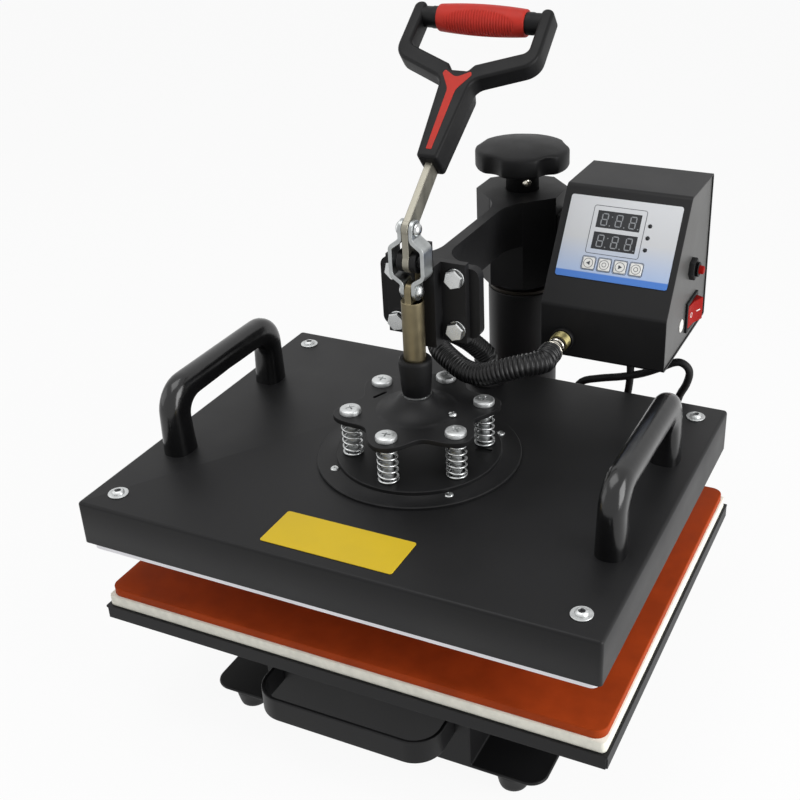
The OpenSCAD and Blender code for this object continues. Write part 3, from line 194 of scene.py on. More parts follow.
class PressSizes(bpy.types.PropertyGroup):
    """Sizes that the finished surfaces add to the solids"""

    sheet_edge: length("Sheet edge", "Rounding along the edges of the pull handle's strip", 0.9)
    cast_edge: length("Casting edge", "Rounding along the edges of the cast arm", 2.0)
    cover_bend: length("Cover bend", "Outside radius of the cover's bends", 2.5)
    bend: length("Box bend", "Outside radius of the control box's bends", 5.0)
    pad_round: length("Pad edge", "Rounding of the silicone pad's edge", 0.9)
    spring_wire: length("Spring wire", "Wire diameter of the head's springs", 1.8)
    groove: length("Grip groove", "Depth of the grooves in the red grip", 0.75)
    groove_pitch: length("Groove pitch", "Distance between the grooves in the red grip", 2.2)
    hose_ribs: IntProperty(name="Hose ribs", description="Ribs along the heater hose", default=74, min=10)
    spring_turns: FloatProperty(
        name="Spring turns", description="Turns of each head spring", default=6.4, min=2
    )
    knob_lobes: IntProperty(name="Knob lobes", description="Lobes round the pressure knob", default=5, min=3)


def colours():
    """Colours set for this scene."""
    return bpy.context.scene.press_colours


def sizes():
    """Sizes set for this scene."""
    return bpy.context.scene.press_sizes


def add(tree, kind, inputs=None, **settings):
    """Adds one node with its settings, and fills or links its inputs; a node gives its first output."""
    node = tree.nodes.new(kind)
    for key, value in settings.items():
        setattr(node, key, value)
    for key, value in (inputs or {}).items():
        if isinstance(value, bpy.types.Node):
            value = value.outputs[0]
        if isinstance(value, bpy.types.NodeSocket):
            tree.links.new(value, node.inputs[key])
        else:
            node.inputs[key].default_value = value
    return node


def bare_tree(owner):
    """Empty node tree of a material or a world."""
    owner.use_nodes = True
    owner.node_tree.nodes.clear()
    return owner.node_tree


def shade(tone, factor):
    """Colour made darker or lighter by a factor."""
    return [min(c * factor, 1) for c in tone[:3]] + [1.0]


# Wear on coated edges, in millimetres: how far it reaches, and the size of its chips
WEAR_REACH = 1.6
WEAR_CHIP = 7
# Bare look of a worn edge: the coat's own colour, times the first and plus the second
RUBBED = (2.4, 0.02)


def edge_share(tree, laid, wear):
    """Wear along the edges: broken up by noise, and nought on flat faces."""
    bent = add(tree, "ShaderNodeBevel", {"Radius": WEAR_REACH * MM}, samples=4)
    flat = add(tree, "ShaderNodeNewGeometry")
    normals = {0: bent, 1: flat.outputs["Normal"]}
    match = add(tree, "ShaderNodeVectorMath", normals, operation="DOT_PRODUCT")
    bends = {"Value": match.outputs["Value"], "From Min": 0.995, "From Max": 0.9}
    edge = add(tree, "ShaderNodeMapRange", bends)
    chips = add(tree, "ShaderNodeTexNoise", {"Vector": laid, "Scale": 1 / (WEAR_CHIP * MM), "Detail": 5.0})
    broken = {"Value": chips, "From Min": 0.4, "From Max": 0.7, "To Max": wear}
    spots = add(tree, "ShaderNodeMapRange", broken)
    return add(tree, "ShaderNodeMath", {0: edge, 1: spots}, operation="MULTIPLY")


def surface(name, tone, spread, patch, rough, grain, depth, stretch=(1, 1, 1), wear=0.0, **sockets):
    """Finish with clouds of colour, uneven gloss and a fine relief, all at real sizes in millimetres."""
    made = bpy.data.materials.new(name)
    tree = bare_tree(made)
    place = add(tree, "ShaderNodeTexCoord")
    laid = add(tree, "ShaderNodeMapping", {"Vector": place.outputs["Object"], "Scale": stretch})
    cloud = add(tree, "ShaderNodeTexNoise", {"Vector": laid, "Scale": 1 / (patch * MM), "Detail": 4.0})
    tint = add(tree, "ShaderNodeValToRGB", {"Fac": cloud})
    for stop, at, factor in zip(tint.color_ramp.elements, (0.35, 0.65), (1 - spread, 1 + spread)):
        stop.position = at
        stop.color = shade(tone, factor)
    uneven = {"Value": cloud, "From Min": 0.3, "From Max": 0.7, "To Min": rough[0], "To Max": rough[1]}
    gloss = add(tree, "ShaderNodeMapRange", uneven)
    fine = add(tree, "ShaderNodeTexNoise", {"Vector": laid, "Scale": 1 / (grain * MM), "Detail": 2.0})
    relief = add(tree, "ShaderNodeBump", {"Height": fine, "Strength": 1.0, "Distance": depth * MM})
    skin = tint.outputs["Color"]
    if wear:
        rubbed = [min(c * RUBBED[0] + RUBBED[1], 1) for c in tone[:3]] + [1.0]
        share = edge_share(tree, laid, wear)
        worn = add(tree, "ShaderNodeMix", {0: share, 6: skin, 7: rubbed}, data_type="RGBA")
        skin = worn.outputs[2]
    facts = {"Base Color": skin, "Roughness": gloss, "Normal": relief, **sockets}
    body = add(tree, "ShaderNodeBsdfPrincipled", facts)
    add(tree, "ShaderNodeOutputMaterial", {"Surface": body})
    return made


SPECULAR = "Specular IOR Level"
METAL = {"Metallic": 1.0}
# Finishes: colour setting or sRGB code, its spread, size of its clouds, lowest and highest roughness,
# width and depth of its grain in millimetres, and whatever else the shader needs
FINISHES = {
    # Baked epoxy powder on steel: satin black, with the fine orange peel that powder leaves as it melts
    "satin_powder_coat": ("coat", 0.12, 60, (0.42, 0.5), 0.9, 0.035, {"wear": 0.4, SPECULAR: 0.2}),
    # Powder over a sand casting: the same black, with a coarser skin than sheet has
    "cast_powder_coat": ("coat", 0.15, 40, (0.45, 0.55), 1.6, 0.09, {"wear": 0.3, SPECULAR: 0.2}),
    # Grey of the box's end plates: satin and paler than the powder round it, partly their own grey and
    # partly painted light for the right-facing side that the lamp lights
    "grey_lacquer": ("#474746", 0.1, 30, (0.38, 0.48), 0.9, 0.03, {"wear": 0.3, SPECULAR: 0.35}),
    # Glass-filled nylon from a spark-textured mould: dull black with a fine matt grain
    "moulded_black_nylon": ("plastic", 0.14, 25, (0.44, 0.56), 0.6, 0.04, {"wear": 0.2, SPECULAR: 0.18}),
    # Injection-moulded ABS from a polished mould: deep black with a clear gloss and slight sink marks
    "polished_black_abs": ("gloss", 0.1, 30, (0.16, 0.24), 9, 0.12, {SPECULAR: 0.5}),
    # Black rubber and PVC: matt, slightly dusty, with a faint extruded texture
    "black_rubber": ("rubber", 0.2, 18, (0.5, 0.64), 0.5, 0.04, {SPECULAR: 0.25}),
    # Corrugated polyamide conduit: black with a waxy half gloss
    "corrugated_polyamide": ("rubber", 0.15, 20, (0.3, 0.4), 1.2, 0.03, {SPECULAR: 0.35}),
    # Thermoplastic rubber moulded over the handle: warm red with a soft sheen
    "red_moulded_rubber": ("red", 0.07, 14, (0.42, 0.52), 0.7, 0.03, {SPECULAR: 0.16}),
    # Moulded polycarbonate of the switches: deep, saturated red with a satin face
    "red_polycarbonate": ("switch", 0.1, 12, (0.36, 0.46), 4, 0.02, {SPECULAR: 0.05}),
    # Bright zinc plate on turned steel: blue-white metal with faint turning marks
    "bright_zinc_plate": ("zinc", 0.08, 6, (0.22, 0.34), 0.5, 0.02, METAL),
    # Zinc plate on cold-headed screws: grey metal dulled by handling
    "dull_zinc_plate": ("zinc", 0.1, 5, (0.4, 0.54), 0.6, 0.03, METAL),
    # Zinc plate on cut strip: greyer and duller than the screws, with drawn lines along the strip
    "zinc_plated_strip": ("strap", 0.1, 9, (0.4, 0.52), 0.7, 0.03, {"stretch": (1, 1, 0.12), **METAL}),
    # Zinc plate on pressed straps: cool grey metal, half bright on its bends
    "zinc_plated_straps": ("#a6a9a9", 0.1, 6, (0.3, 0.42), 0.6, 0.03, METAL),
    # Yellow chromate over zinc on ground bar: a dull straw tint with faint clouds
    "yellow_chromated_bar": ("rod", 0.1, 14, (0.34, 0.46), 0.6, 0.02, METAL),
    # Machined aluminium casting: pale grey metal with fine cutter lines
    "machined_aluminium": (
        "platen", 0.06, 30, (0.36, 0.46), 0.8, 0.03, {"stretch": (1, 6, 1), "Metallic": 0.6},
    ),
    # Sintered bronze bearing metal, dark with oil: brown, matt and slightly porous
    "oiled_bronze": ("#241f18", 0.14, 5, (0.45, 0.55), 0.5, 0.04, {"Metallic": 0.6}),
    # Hot black oxide on turned steel: dark grey metal with an oily half gloss
    "black_oxide_steel": ("#3a3a3c", 0.12, 5, (0.32, 0.44), 0.5, 0.02, METAL),
    # Nickel plate on a turned fitting: warm white and glossy
    "nickel_plate": ("#d3cec2", 0.07, 6, (0.14, 0.24), 1.2, 0.02, METAL),
    # Chromated brass of the panel connector and the plug's pins: dull yellow green
    "chromated_brass": ("#756e4c", 0.14, 5, (0.3, 0.42), 0.8, 0.03, METAL),
    # Metallised plastic key cap: silver paint with a satin clear coat
    "silver_key_cap": ("keys", 0.05, 5, (0.32, 0.4), 0.4, 0.01, {"Metallic": 0.35}),
    # Smoked acrylic over the displays: nearly black and glossy
    "smoked_acrylic": ("#26272a", 0.1, 10, (0.2, 0.28), 6, 0.01, {SPECULAR: 0.2}),
    # Unlit display segment: grey diffuser set in the black display face
    "unlit_segment": ("#8d9094", 0.06, 3, (0.4, 0.5), 0.5, 0.01, {}),
    # Screen-printed ink on the panel film: dark, flat and matt
    "dark_print_ink": ("#2c3038", 0.1, 3, (0.4, 0.5), 0.4, 0.005, {}),
    # White pad print on the rocker: flat and matt
    "white_pad_print": ("#e6e4e0", 0.04, 2, (0.45, 0.55), 0.4, 0.005, {}),
    # Painted aluminium plate: flat warm yellow with a light satin
    "yellow_painted_plate": ("plate", 0.025, 30, (0.36, 0.46), 1.0, 0.01, {SPECULAR: 0.2}),
    # Solder mask on glass laminate: green with a soft gloss
    "green_laminate": ("#24502f", 0.12, 4, (0.3, 0.4), 0.6, 0.01, {}),
    # Compressed ceramic wool: off-white and fibrous
    "ceramic_wool": ("#ded8c6", 0.1, 6, (0.85, 0.95), 0.8, 0.3, {"stretch": (1, 1, 6)}),
    # Sponge silicone with a smooth baked skin: brick red, matt, faintly mottled and pitted
    "brick_red_silicone": ("silicone", 0.1, 22, (0.5, 0.62), 0.8, 0.06, {SPECULAR: 0.07}),
    # Pressed felt: off-white wool fibre, matt, with a short even nap
    "pressed_felt": ("felt", 0.05, 6, (0.9, 0.98), 0.5, 0.1, {"Sheen Weight": 0.25}),
}


def finish_of(name):
    """Material of a finish, made from the table when it is first asked for."""
    made = bpy.data.materials.get(name)
    if made:
        return made
    tone, *facts, extras = FINISHES[name]
    tone = linear(tone) if tone.startswith("#") else getattr(colours(), tone)
    return surface(name, tone, *facts, **extras)


def panel_film():
    """Printed polyester film: silver fading to pale blue, with a blue band along its foot."""
    made = bpy.data.materials.new("printed_panel_film")
    tree = bare_tree(made)
    place = add(tree, "ShaderNodeTexCoord")
    slope = {
        "Vector": place.outputs["Object"],
        "Location": (0, BEND_Y * MM, BEND_Z * MM),
        "Rotation": (PANEL_ANGLE, 0, 0),
    }
    laid = add(tree, "ShaderNodeMapping", slope, vector_type="TEXTURE")
    split = add(tree, "ShaderNodeSeparateXYZ", {"Vector": laid})
    foot, head = -(LABEL_DOWN + LABEL_HEIGHT) * MM, -LABEL_DOWN * MM
    up = add(tree, "ShaderNodeMapRange", {"Value": split.outputs["Y"], "From Min": foot, "From Max": head})
    tint = add(tree, "ShaderNodeValToRGB", {"Fac": up})
    stops = tint.color_ramp.elements
    stops[0].color = colours().label_band
    stops[1].color = colours().label_top
    for at, tone in (
        (0.075, colours().label_band),
        (0.085, colours().label_low),
        (0.5, shade(colours().label_top, 0.93)),
    ):
        stops.new(at).color = tone
    grit = add(tree, "ShaderNodeTexNoise", {"Vector": place.outputs["Object"], "Scale": 1 / (0.5 * MM)})
    gloss = add(tree, "ShaderNodeMapRange", {"Value": grit, "To Min": 0.3, "To Max": 0.42})
    relief = add(tree, "ShaderNodeBump", {"Height": grit, "Strength": 1.0, "Distance": 0.008 * MM})
    facts = {"Base Color": tint, "Roughness": gloss, "Normal": relief, "Metallic": 0.15}
    body = add(tree, "ShaderNodeBsdfPrincipled", facts)
    add(tree, "ShaderNodeOutputMaterial", {"Surface": body})
    return made


def ring_angles(count):
    """Even angles round a full turn."""
    return [2 * math.pi * k / count for k in range(count)]


def polar(radius, angle, z=0.0):
    """Point at a radius and angle about the Z axis."""
    return Vector((radius * math.cos(angle), radius * math.sin(angle), z))


def placed(outline, z, place):
    """Points of an outline at one height of a placement."""
    return [place @ Vector((p[0], p[1], z)) for p in outline]


def bridge(shape, low, high):
    """Faces between two rings of vertices, either of which may be one point."""
    if len(low) == 1 and len(high) == 1:
        return
    count = max(len(low), len(high))
    for k in range(count):
        after = (k + 1) % count
        if len(low) == 1:
            shape.faces.new((low[0], high[after], high[k]))
        elif len(high) == 1:
            shape.faces.new((low[k], low[after], high[0]))
        else:
            shape.faces.new((low[k], low[after], high[after], high[k]))


def loft(shape, rings, closed=False):
    """Skin over rings of points, each end closed by a face unless the last ring joins the first."""
    made = [[shape.verts.new(point) for point in ring] for ring in rings]
    for low, high in zip(made, made[1:]):
        bridge(shape, low, high)
    if closed:
        bridge(shape, made[-1], made[0])
        return shape
    for ring in (made[0], made[-1]):
        if len(ring) > 2:
            shape.faces.new(ring)
    return shape


def lathe(shape, profile, place=None, steps=40, closed=False):
    """Turns a profile of (radius, height) pairs about the local Z axis; six steps make a hexagon."""
    place = place or Matrix()
    rings = []
    for radius, height in profile:
        angles = [0] if radius < TINY else ring_angles(steps)
        rings.append([place @ polar(radius, angle, height) for angle in angles])
    return loft(shape, rings, closed)


def ring_profile(inner, outer, low, high):
    """Profile of a plain ring or disc for lathe()."""
    return (inner, low), (outer, low), (outer, high), (inner, high)


def quarter_round(radius, top):
    """Profile of (inset, height) pairs round an upper edge."""
    angles = [math.radians(a) for a in range(0, 91, 15)]
    return [(radius * (1 - math.cos(a)), top - radius * (1 - math.sin(a))) for a in angles]


def rounded(corners, step=9):
    """Outline whose corners, each (x, y, radius), are rounded by arcs of step degrees a point."""
    points = []
    for i, (x, y, radius) in enumerate(corners):
        here = Vector((x, y))
        if radius <= 0:
            points.append(here)
            continue
        back = (Vector(corners[i - 1][:2]) - here).normalized()
        ahead = (Vector(corners[(i + 1) % len(corners)][:2]) - here).normalized()
        half = back.angle(ahead) / 2
        centre = here + (back + ahead).normalized() * radius / math.sin(half)
        start = here + back * radius / math.tan(half) - centre
        end = here + ahead * radius / math.tan(half) - centre
        first = math.atan2(start.y, start.x)
        sweep = (math.atan2(end.y, end.x) - first + math.pi) % (2 * math.pi) - math.pi
        count = max(2, math.ceil(abs(math.degrees(sweep)) / step - 0.01))
        for k in range(count + 1):
            angle = first + sweep * k / count
            points.append(centre + radius * Vector((math.cos(angle), math.sin(angle))))
    return points


def oblong(wide, deep, radius):
    """Corners of a rectangle about the origin, for rounded()."""
    w, d = wide / 2, deep / 2
    return [(-w, -d, radius), (w, -d, radius), (w, d, radius), (-w, d, radius)]


def mirrored(half):
    """Corners of a symmetric outline from its right half, listed from the bottom up."""
    return half + [(-x, y, r) for x, y, r in reversed(half) if x > TINY]


def prism(shape, outline, low, high, place=None):
    """Outline in X and Y made solid from low to high along the local Z axis."""
    return loft(shape, [placed(outline, z, place or Matrix()) for z in (low, high)])


def hoop(shape, outer, inner, low, high, place):
    """Wall between two outlines of as many points, from low to high along the local Z axis."""
    ends = ((outer, low), (outer, high), (inner, high), (inner, low))
    return loft(shape, [placed(outline, z, place) for outline, z in ends], closed=True)


def inset_line(points, amount):
    """Outline moved inward by an amount that its corners are rounder than."""
    winding = sum(a.x * b.y - b.x * a.y for a, b in zip(points, points[1:] + points[:1]))
    side = math.copysign(amount, winding)
    moved = []
    for i, point in enumerate(points):
        along = (points[(i + 1) % len(points)] - points[i - 1]).normalized()
        moved.append(point + side * Vector((-along.y, along.x)))
    return moved


def soft_prism(shape, outline, low, high, place, edge):
    """Prism whose end faces meet its wall in round edges."""
    angles = [math.radians(a) for a in range(0, 91, 18)]
    stages = [(edge * (1 - math.sin(a)), low + edge * (1 - math.cos(a))) for a in angles]
    stages += [(edge * (1 - math.cos(a)), high - edge * (1 - math.sin(a))) for a in angles]
    return loft(shape, [placed(inset_line(outline, inset), z, place) for inset, z in stages])


def slab(shape, low, high, corner, profile):
    """Flat form whose wall follows a profile of (inset, height) pairs above its box's foot."""
    place = Matrix.Translation(((low.x + high.x) / 2, (low.y + high.y) / 2, low.z))
    rings = []
    for inset, height in profile:
        box = oblong(high.x - low.x - 2 * inset, high.y - low.y - 2 * inset, max(corner - inset, 0.6))
        rings.append(placed(rounded(box, 6), height, place))
    return loft(shape, rings)


def smooth_line(route, steps):
    """Smooth curve through the points of a route."""
    points = []
    last = len(route) - 1
    for i in range(last):
        a, b, c, d = (route[j] for j in (max(i - 1, 0), i, i + 1, min(i + 2, last)))
        for s in range(steps):
            t = s / steps
            cubic = 2 * b + (c - a) * t + (2 * a - 5 * b + 4 * c - d) * t**2 + (3 * b - a - 3 * c + d) * t**3
            points.append(cubic / 2)
    return points + [route[last]]


def tube_rings(path, radius, sides):
    """Rings of points round a path, turned as little as they can be from one to the next."""
    rings = []
    across = Vector((1, 0, 0))
    for i, point in enumerate(path):
        heading = (path[min(i + 1, len(path) - 1)] - path[max(i - 1, 0)]).normalized()
        across = (across - across.dot(heading) * heading).normalized()
        other = heading.cross(across)
        spokes = [math.cos(a) * across + math.sin(a) * other for a in ring_angles(sides)]
        rings.append([point + radius * spoke for spoke in spokes])
    return rings


def facing(point, direction, degrees=0):
    """Placement whose local Z axis points along a direction."""
    aim = Vector(direction).to_track_quat("Z", "Y").to_matrix().to_4x4()
    return Matrix.Translation(point) @ aim @ turned(degrees)


def on_panel(x, down, rise=0):
    """Placement on the slanted panel: X along it, Y up the slope, Z outward."""
    slope = Matrix.Rotation(PANEL_ANGLE, 4, "X")
    return Matrix.Translation((x, BEND_Y, BEND_Z)) @ slope @ Matrix.Translation((0, -down, rise))


def copy_of(node):
    """Copy of a solid's surface with its triangles merged into plain faces, in millimetres."""
    shape = bmesh.new()
    shape.from_mesh(frame["nodes"][node].data)
    bmesh.ops.remove_doubles(shape, verts=shape.verts, dist=TINY)
    bmesh.ops.dissolve_limit(shape, angle_limit=math.radians(0.5), verts=shape.verts, edges=shape.edges)
    shape.transform(Matrix.Scale(1 / MM, 4))
    return shape


def linked(name, data):
    """New object in the scene."""
    made = bpy.data.objects.new(name, data)
    bpy.context.scene.collection.objects.link(made)
    return made


def drawn(name, shape):
    """Object of a shape drawn in millimetres."""
    shape.transform(Matrix.Scale(MM, 4))
    mesh = bpy.data.meshes.new(name)
    shape.to_mesh(mesh)
    shape.free()
    return linked(name, mesh)


def raw_object(name, shape):
    """Object of a shape drawn in millimetres, with its faces turned outward."""
    bmesh.ops.recalc_face_normals(shape, faces=shape.faces)
    return drawn(name, shape)


def evaluated(made):
    """Plain mesh of an object as its modifiers leave it."""
    graph = bpy.context.evaluated_depsgraph_get()
    return bpy.data.meshes.new_from_object(made.evaluated_get(graph))


def carved(shape, *tools, operation="DIFFERENCE"):
    """Shape with other shapes cut out of it, joined to it or crossed with it."""
    made = raw_object("carved", shape)
    spare = [raw_object("tool", tool) for tool in tools]
    for tool in spare:
        cut = made.modifiers.new("cut", "BOOLEAN")
        cut.operation = operation
        cut.solver = "EXACT"
        cut.object = tool
    result = bmesh.new()
    result.from_mesh(evaluated(made))
    result.transform(Matrix.Scale(1 / MM, 4))
    for spent in [made, *spare]:
        bpy.data.objects.remove(spent)
    return result


def finished(made, finish, body, stands_for=(), edge=0.0, crease=CREASE):
    """Gives an object its finish, soft edges and shading, and lets it ride on its body."""
    mesh = made.data
    if finish not in mesh.materials:
        mesh.materials.append(finish_of(finish))
    mesh.shade_smooth()
    if edge:
        round_off = made.modifiers.new("edge", "BEVEL")
        round_off.width = edge * MM
        round_off.segments = 3
        round_off.limit_method = "ANGLE"
        round_off.angle_limit = math.radians(crease)
        round_off.miter_outer = "MITER_ARC"
        made.modifiers.new("even", "WEIGHTED_NORMAL").keep_sharp = False
    else:
        mesh.set_sharp_from_angle(angle=math.radians(crease))
    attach(made, body)
    if stands_for:
        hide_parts(*stands_for)
    return made


def piece(name, shape, finish, body, stands_for=(), edge=0.0, crease=CREASE):
    """Finished piece from a closed shape drawn in millimetres."""
    return finished(raw_object(name, shape), finish, body, stands_for, edge, crease)


def softened(name, node, finish, edge):
    """Copy of a solid with soft edges, standing for it."""
    return finished(drawn(name, copy_of(node)), finish, body_of(node), (node,), edge)


def dressed(node, finish):
    """Solid that keeps its own shape and gets a finish."""
    made = frame["nodes"][node]
    made.data.materials.clear()
    made.data.materials.append(finish_of(finish))


def settle(made, tree, values):
    """Runs a node tree on an object with named values, and keeps the result as a plain mesh."""
    grown = made.modifiers.new(tree.name, "NODES")
    grown.node_group = tree
    for item in tree.interface.items_tree:
        if item.in_out == "INPUT" and item.name in values:
            grown[item.identifier] = values[item.name]
    mesh = evaluated(made)
    made.modifiers.remove(grown)
    made.data = mesh
    return made


def new_tree(name, sockets):
    """Empty geometry tree with named inputs, and its input node's sockets."""
    tree = bpy.data.node_groups.new(name, "GeometryNodeTree")
    for label, kind in sockets.items():
        tree.interface.new_socket(label, in_out="INPUT", socket_type="NodeSocket" + kind)
    tree.interface.new_socket("Geometry", in_out="OUTPUT", socket_type="NodeSocketGeometry")
    return tree, add(tree, "NodeGroupInput").outputs


def close_tree(tree, grown, finish):
    """Ends a tree with plain geometry in one finish."""
    real = add(tree, "GeometryNodeRealizeInstances", {"Geometry": grown})
    done = add(tree, "GeometryNodeSetMaterial", {"Geometry": real, "Material": finish})
    add(tree, "NodeGroupOutput", {"Geometry": done})
    return tree


def copies_tree():
    """Tree that sets one shape on each point, turned as the point says."""
    tree = bpy.data.node_groups.get("copies_on_places")
    if tree:
        return tree
    sockets = {"Geometry": "Geometry", "Shape": "Object", "Size": "Float", "Finish": "Material"}
    tree, given = new_tree("copies_on_places", sockets)
    turn = add(tree, "GeometryNodeInputNamedAttribute", {"Name": "turn"}, data_type="FLOAT_VECTOR")
    shape = add(tree, "GeometryNodeObjectInfo", {"Object": given["Shape"]})
    copies = {
        "Points": given["Geometry"],
        "Instance": shape.outputs["Geometry"],
        "Rotation": turn.outputs["Attribute"],
        "Scale": given["Size"],
    }
    return close_tree(tree, add(tree, "GeometryNodeInstanceOnPoints", copies), given["Finish"])


def repeat(name, shape, places, finish, body, stands_for=(), crease=CREASE):
    """One piece of like shapes at several placements."""
    source = raw_object(name + "_source", shape)
    mesh = bpy.data.meshes.new(name)
    mesh.from_pydata([place.translation * MM for place in places], [], [])
    turns = mesh.attributes.new("turn", "FLOAT_VECTOR", "POINT")
    for row, place in zip(turns.data, places):
        row.vector = place.to_euler()
    values = {"Shape": source, "Size": 1.0, "Finish": finish_of(finish)}
    made = settle(linked(name, mesh), copies_tree(), values)
    bpy.data.objects.remove(source)
    return finished(made, finish, body, stands_for, crease=crease)


def springs_tree():
    """Tree of coil springs round a pitch circle, their end turns lying flat."""
    lengths = ("Wire", "Coil Radius", "Height", "Turns", "Pitch Radius")
    sockets = {**dict.fromkeys(lengths, "Float"), "Count": "Int", "Finish": "Material"}
    tree, given = new_tree("springs_on_circle", sockets)
    winding = {
        "Resolution": 24,
        "Rotations": given["Turns"],
        "Start Radius": given["Coil Radius"],
        "End Radius": given["Coil Radius"],
        "Height": 0.0,
    }
    spiral = add(tree, "GeometryNodeCurveSpiral", winding)
    along = add(tree, "GeometryNodeSplineParameter")
    climb = add(tree, "ShaderNodeMapRange", {"Value": along, "From Min": 0.1, "From Max": 0.9})
    rise = add(tree, "ShaderNodeMath", {0: climb, 1: given["Height"]}, operation="MULTIPLY")
    lift = add(tree, "ShaderNodeCombineXYZ", {"Z": rise})
    wound = add(tree, "GeometryNodeSetPosition", {"Geometry": spiral, "Offset": lift})
    wire = add(tree, "GeometryNodeCurvePrimitiveCircle", {"Resolution": 10, "Radius": given["Wire"]})
    coil = add(tree, "GeometryNodeCurveToMesh", {"Curve": wound, "Profile Curve": wire, "Fill Caps": True})
    pitch = {"Vertices": given["Count"], "Radius": given["Pitch Radius"]}
    circle = add(tree, "GeometryNodeMeshCircle", pitch)
    copies = add(tree, "GeometryNodeInstanceOnPoints", {"Points": circle, "Instance": coil})
    return close_tree(tree, copies, given["Finish"])


def hose_tree():
    """Tree that makes a corrugated wall along a line, with wide crests and narrow valleys."""
    sockets = {
        "Geometry": "Geometry", "Ribs": "Int", "Radius": "Float", "Valley": "Float", "Finish": "Material",
    }
    tree, given = new_tree("corrugated_hose", sockets)
    steps = add(tree, "ShaderNodeMath", {0: given["Ribs"], 1: 8.0}, operation="MULTIPLY")
    line = add(tree, "GeometryNodeMeshToCurve", {"Mesh": given["Geometry"]})
    even = add(tree, "GeometryNodeResampleCurve", {"Curve": line, "Count": steps})
    along = add(tree, "GeometryNodeSplineParameter")
    turn = add(tree, "ShaderNodeMath", {0: given["Ribs"], 1: math.pi}, operation="MULTIPLY")
    phase = add(tree, "ShaderNodeMath", {0: along, 1: turn}, operation="MULTIPLY")
    wave = add(tree, "ShaderNodeMath", {0: phase}, operation="SINE")
    crest = add(tree, "ShaderNodeMath", {0: wave}, operation="ABSOLUTE")
    broad = add(tree, "ShaderNodeMath", {0: crest, 1: 0.55}, operation="POWER")
    size = add(tree, "ShaderNodeMapRange", {"Value": broad, "To Min": given["Valley"], "To Max": 1.0})
    ring = add(tree, "GeometryNodeCurvePrimitiveCircle", {"Resolution": 28, "Radius": given["Radius"]})
    wall = add(tree, "GeometryNodeCurveToMesh", {"Curve": even, "Profile Curve": ring, "Scale": size})
    return close_tree(tree, wall, given["Finish"])


# Camera that took the photograph, in millimetres, degrees and pixels
CAMERA_PLACE = (369.7, -742.6, 678.3)
CAMERA_AZIMUTH = 24.93
CAMERA_ELEVATION = 28.12
CAMERA_ROLL = -1.38
FOCAL_PIXELS = 1201.4
AXIS_PIXEL = (473.3, 388.9)
SENSOR = 36.0
# Light of the surround, share of white in the floor, and the floor's side, corner, foot and top
SURROUND_LIGHT = 0.31
FLOOR_WHITE = 0.93
FLOOR_SIDE, FLOOR_CORNER, FLOOR_FOOT, FLOOR_TOP = 8000, 400, -20, -0.5
# Softboxes: name, place, point aimed at, width and height in millimetres, and watts
SOFTBOXES = (
    ("right_softbox", (1100, -150, 520), (0, -20, 230), 700, 900, 11.0),
    ("top_softbox", (-250, -250, 1500), (0, 0, 200), 900, 900, 7.0),
    ("left_fill", (-1300, -700, 700), (0, -50, 200), 900, 900, 2.4),
)


def camera():
    """Camera at the photograph's view."""
    azimuth, elevation, roll = (math.radians(a) for a in (CAMERA_AZIMUTH, CAMERA_ELEVATION, CAMERA_ROLL))
    right = polar(1, azimuth)
    back = polar(math.cos(elevation), azimuth - math.pi / 2, math.sin(elevation))
    up = back.cross(right)
    rolled_right = math.cos(roll) * right + math.sin(roll) * up
    rolled_up = math.cos(roll) * up - math.sin(roll) * right
    lens = bpy.data.cameras.new("photo_camera")
    lens.sensor_width = SENSOR
    lens.lens = SENSOR * FOCAL_PIXELS / PHOTO_SIDE
    lens.shift_x = (PHOTO_SIDE / 2 - AXIS_PIXEL[0]) / PHOTO_SIDE
    lens.shift_y = (AXIS_PIXEL[1] - PHOTO_SIDE / 2) / PHOTO_SIDE
    made = linked("photo_camera", lens)
    aim = Matrix((rolled_right, rolled_up, back)).transposed().to_4x4()
    made.matrix_world = Matrix.Translation(Vector(CAMERA_PLACE) * MM) @ aim
    bpy.context.scene.camera = made


def seen_rays(tree):
    """One where a ray from the camera, a gloss or a clear surface looks, and nought for lighting."""
    rays = add(tree, "ShaderNodeLightPath").outputs
    glossy = {0: rays["Is Camera Ray"], 1: rays["Is Glossy Ray"]}
    seen = {0: add(tree, "ShaderNodeMath", glossy, operation="MAXIMUM"), 1: rays["Is Transmission Ray"]}
    return add(tree, "ShaderNodeMath", seen, operation="MAXIMUM")


def white_surround():
    """World that looks white and lights softly."""
    world = bpy.data.worlds.new("white_surround")
    tree = bare_tree(world)
    levels = {"Value": seen_rays(tree), "To Min": SURROUND_LIGHT, "To Max": 1.0}
    strength = add(tree, "ShaderNodeMapRange", levels)
    light = add(tree, "ShaderNodeBackground", {"Color": (1, 1, 1, 1), "Strength": strength})
    add(tree, "ShaderNodeOutputWorld", {"Surface": light})
    bpy.context.scene.world = world


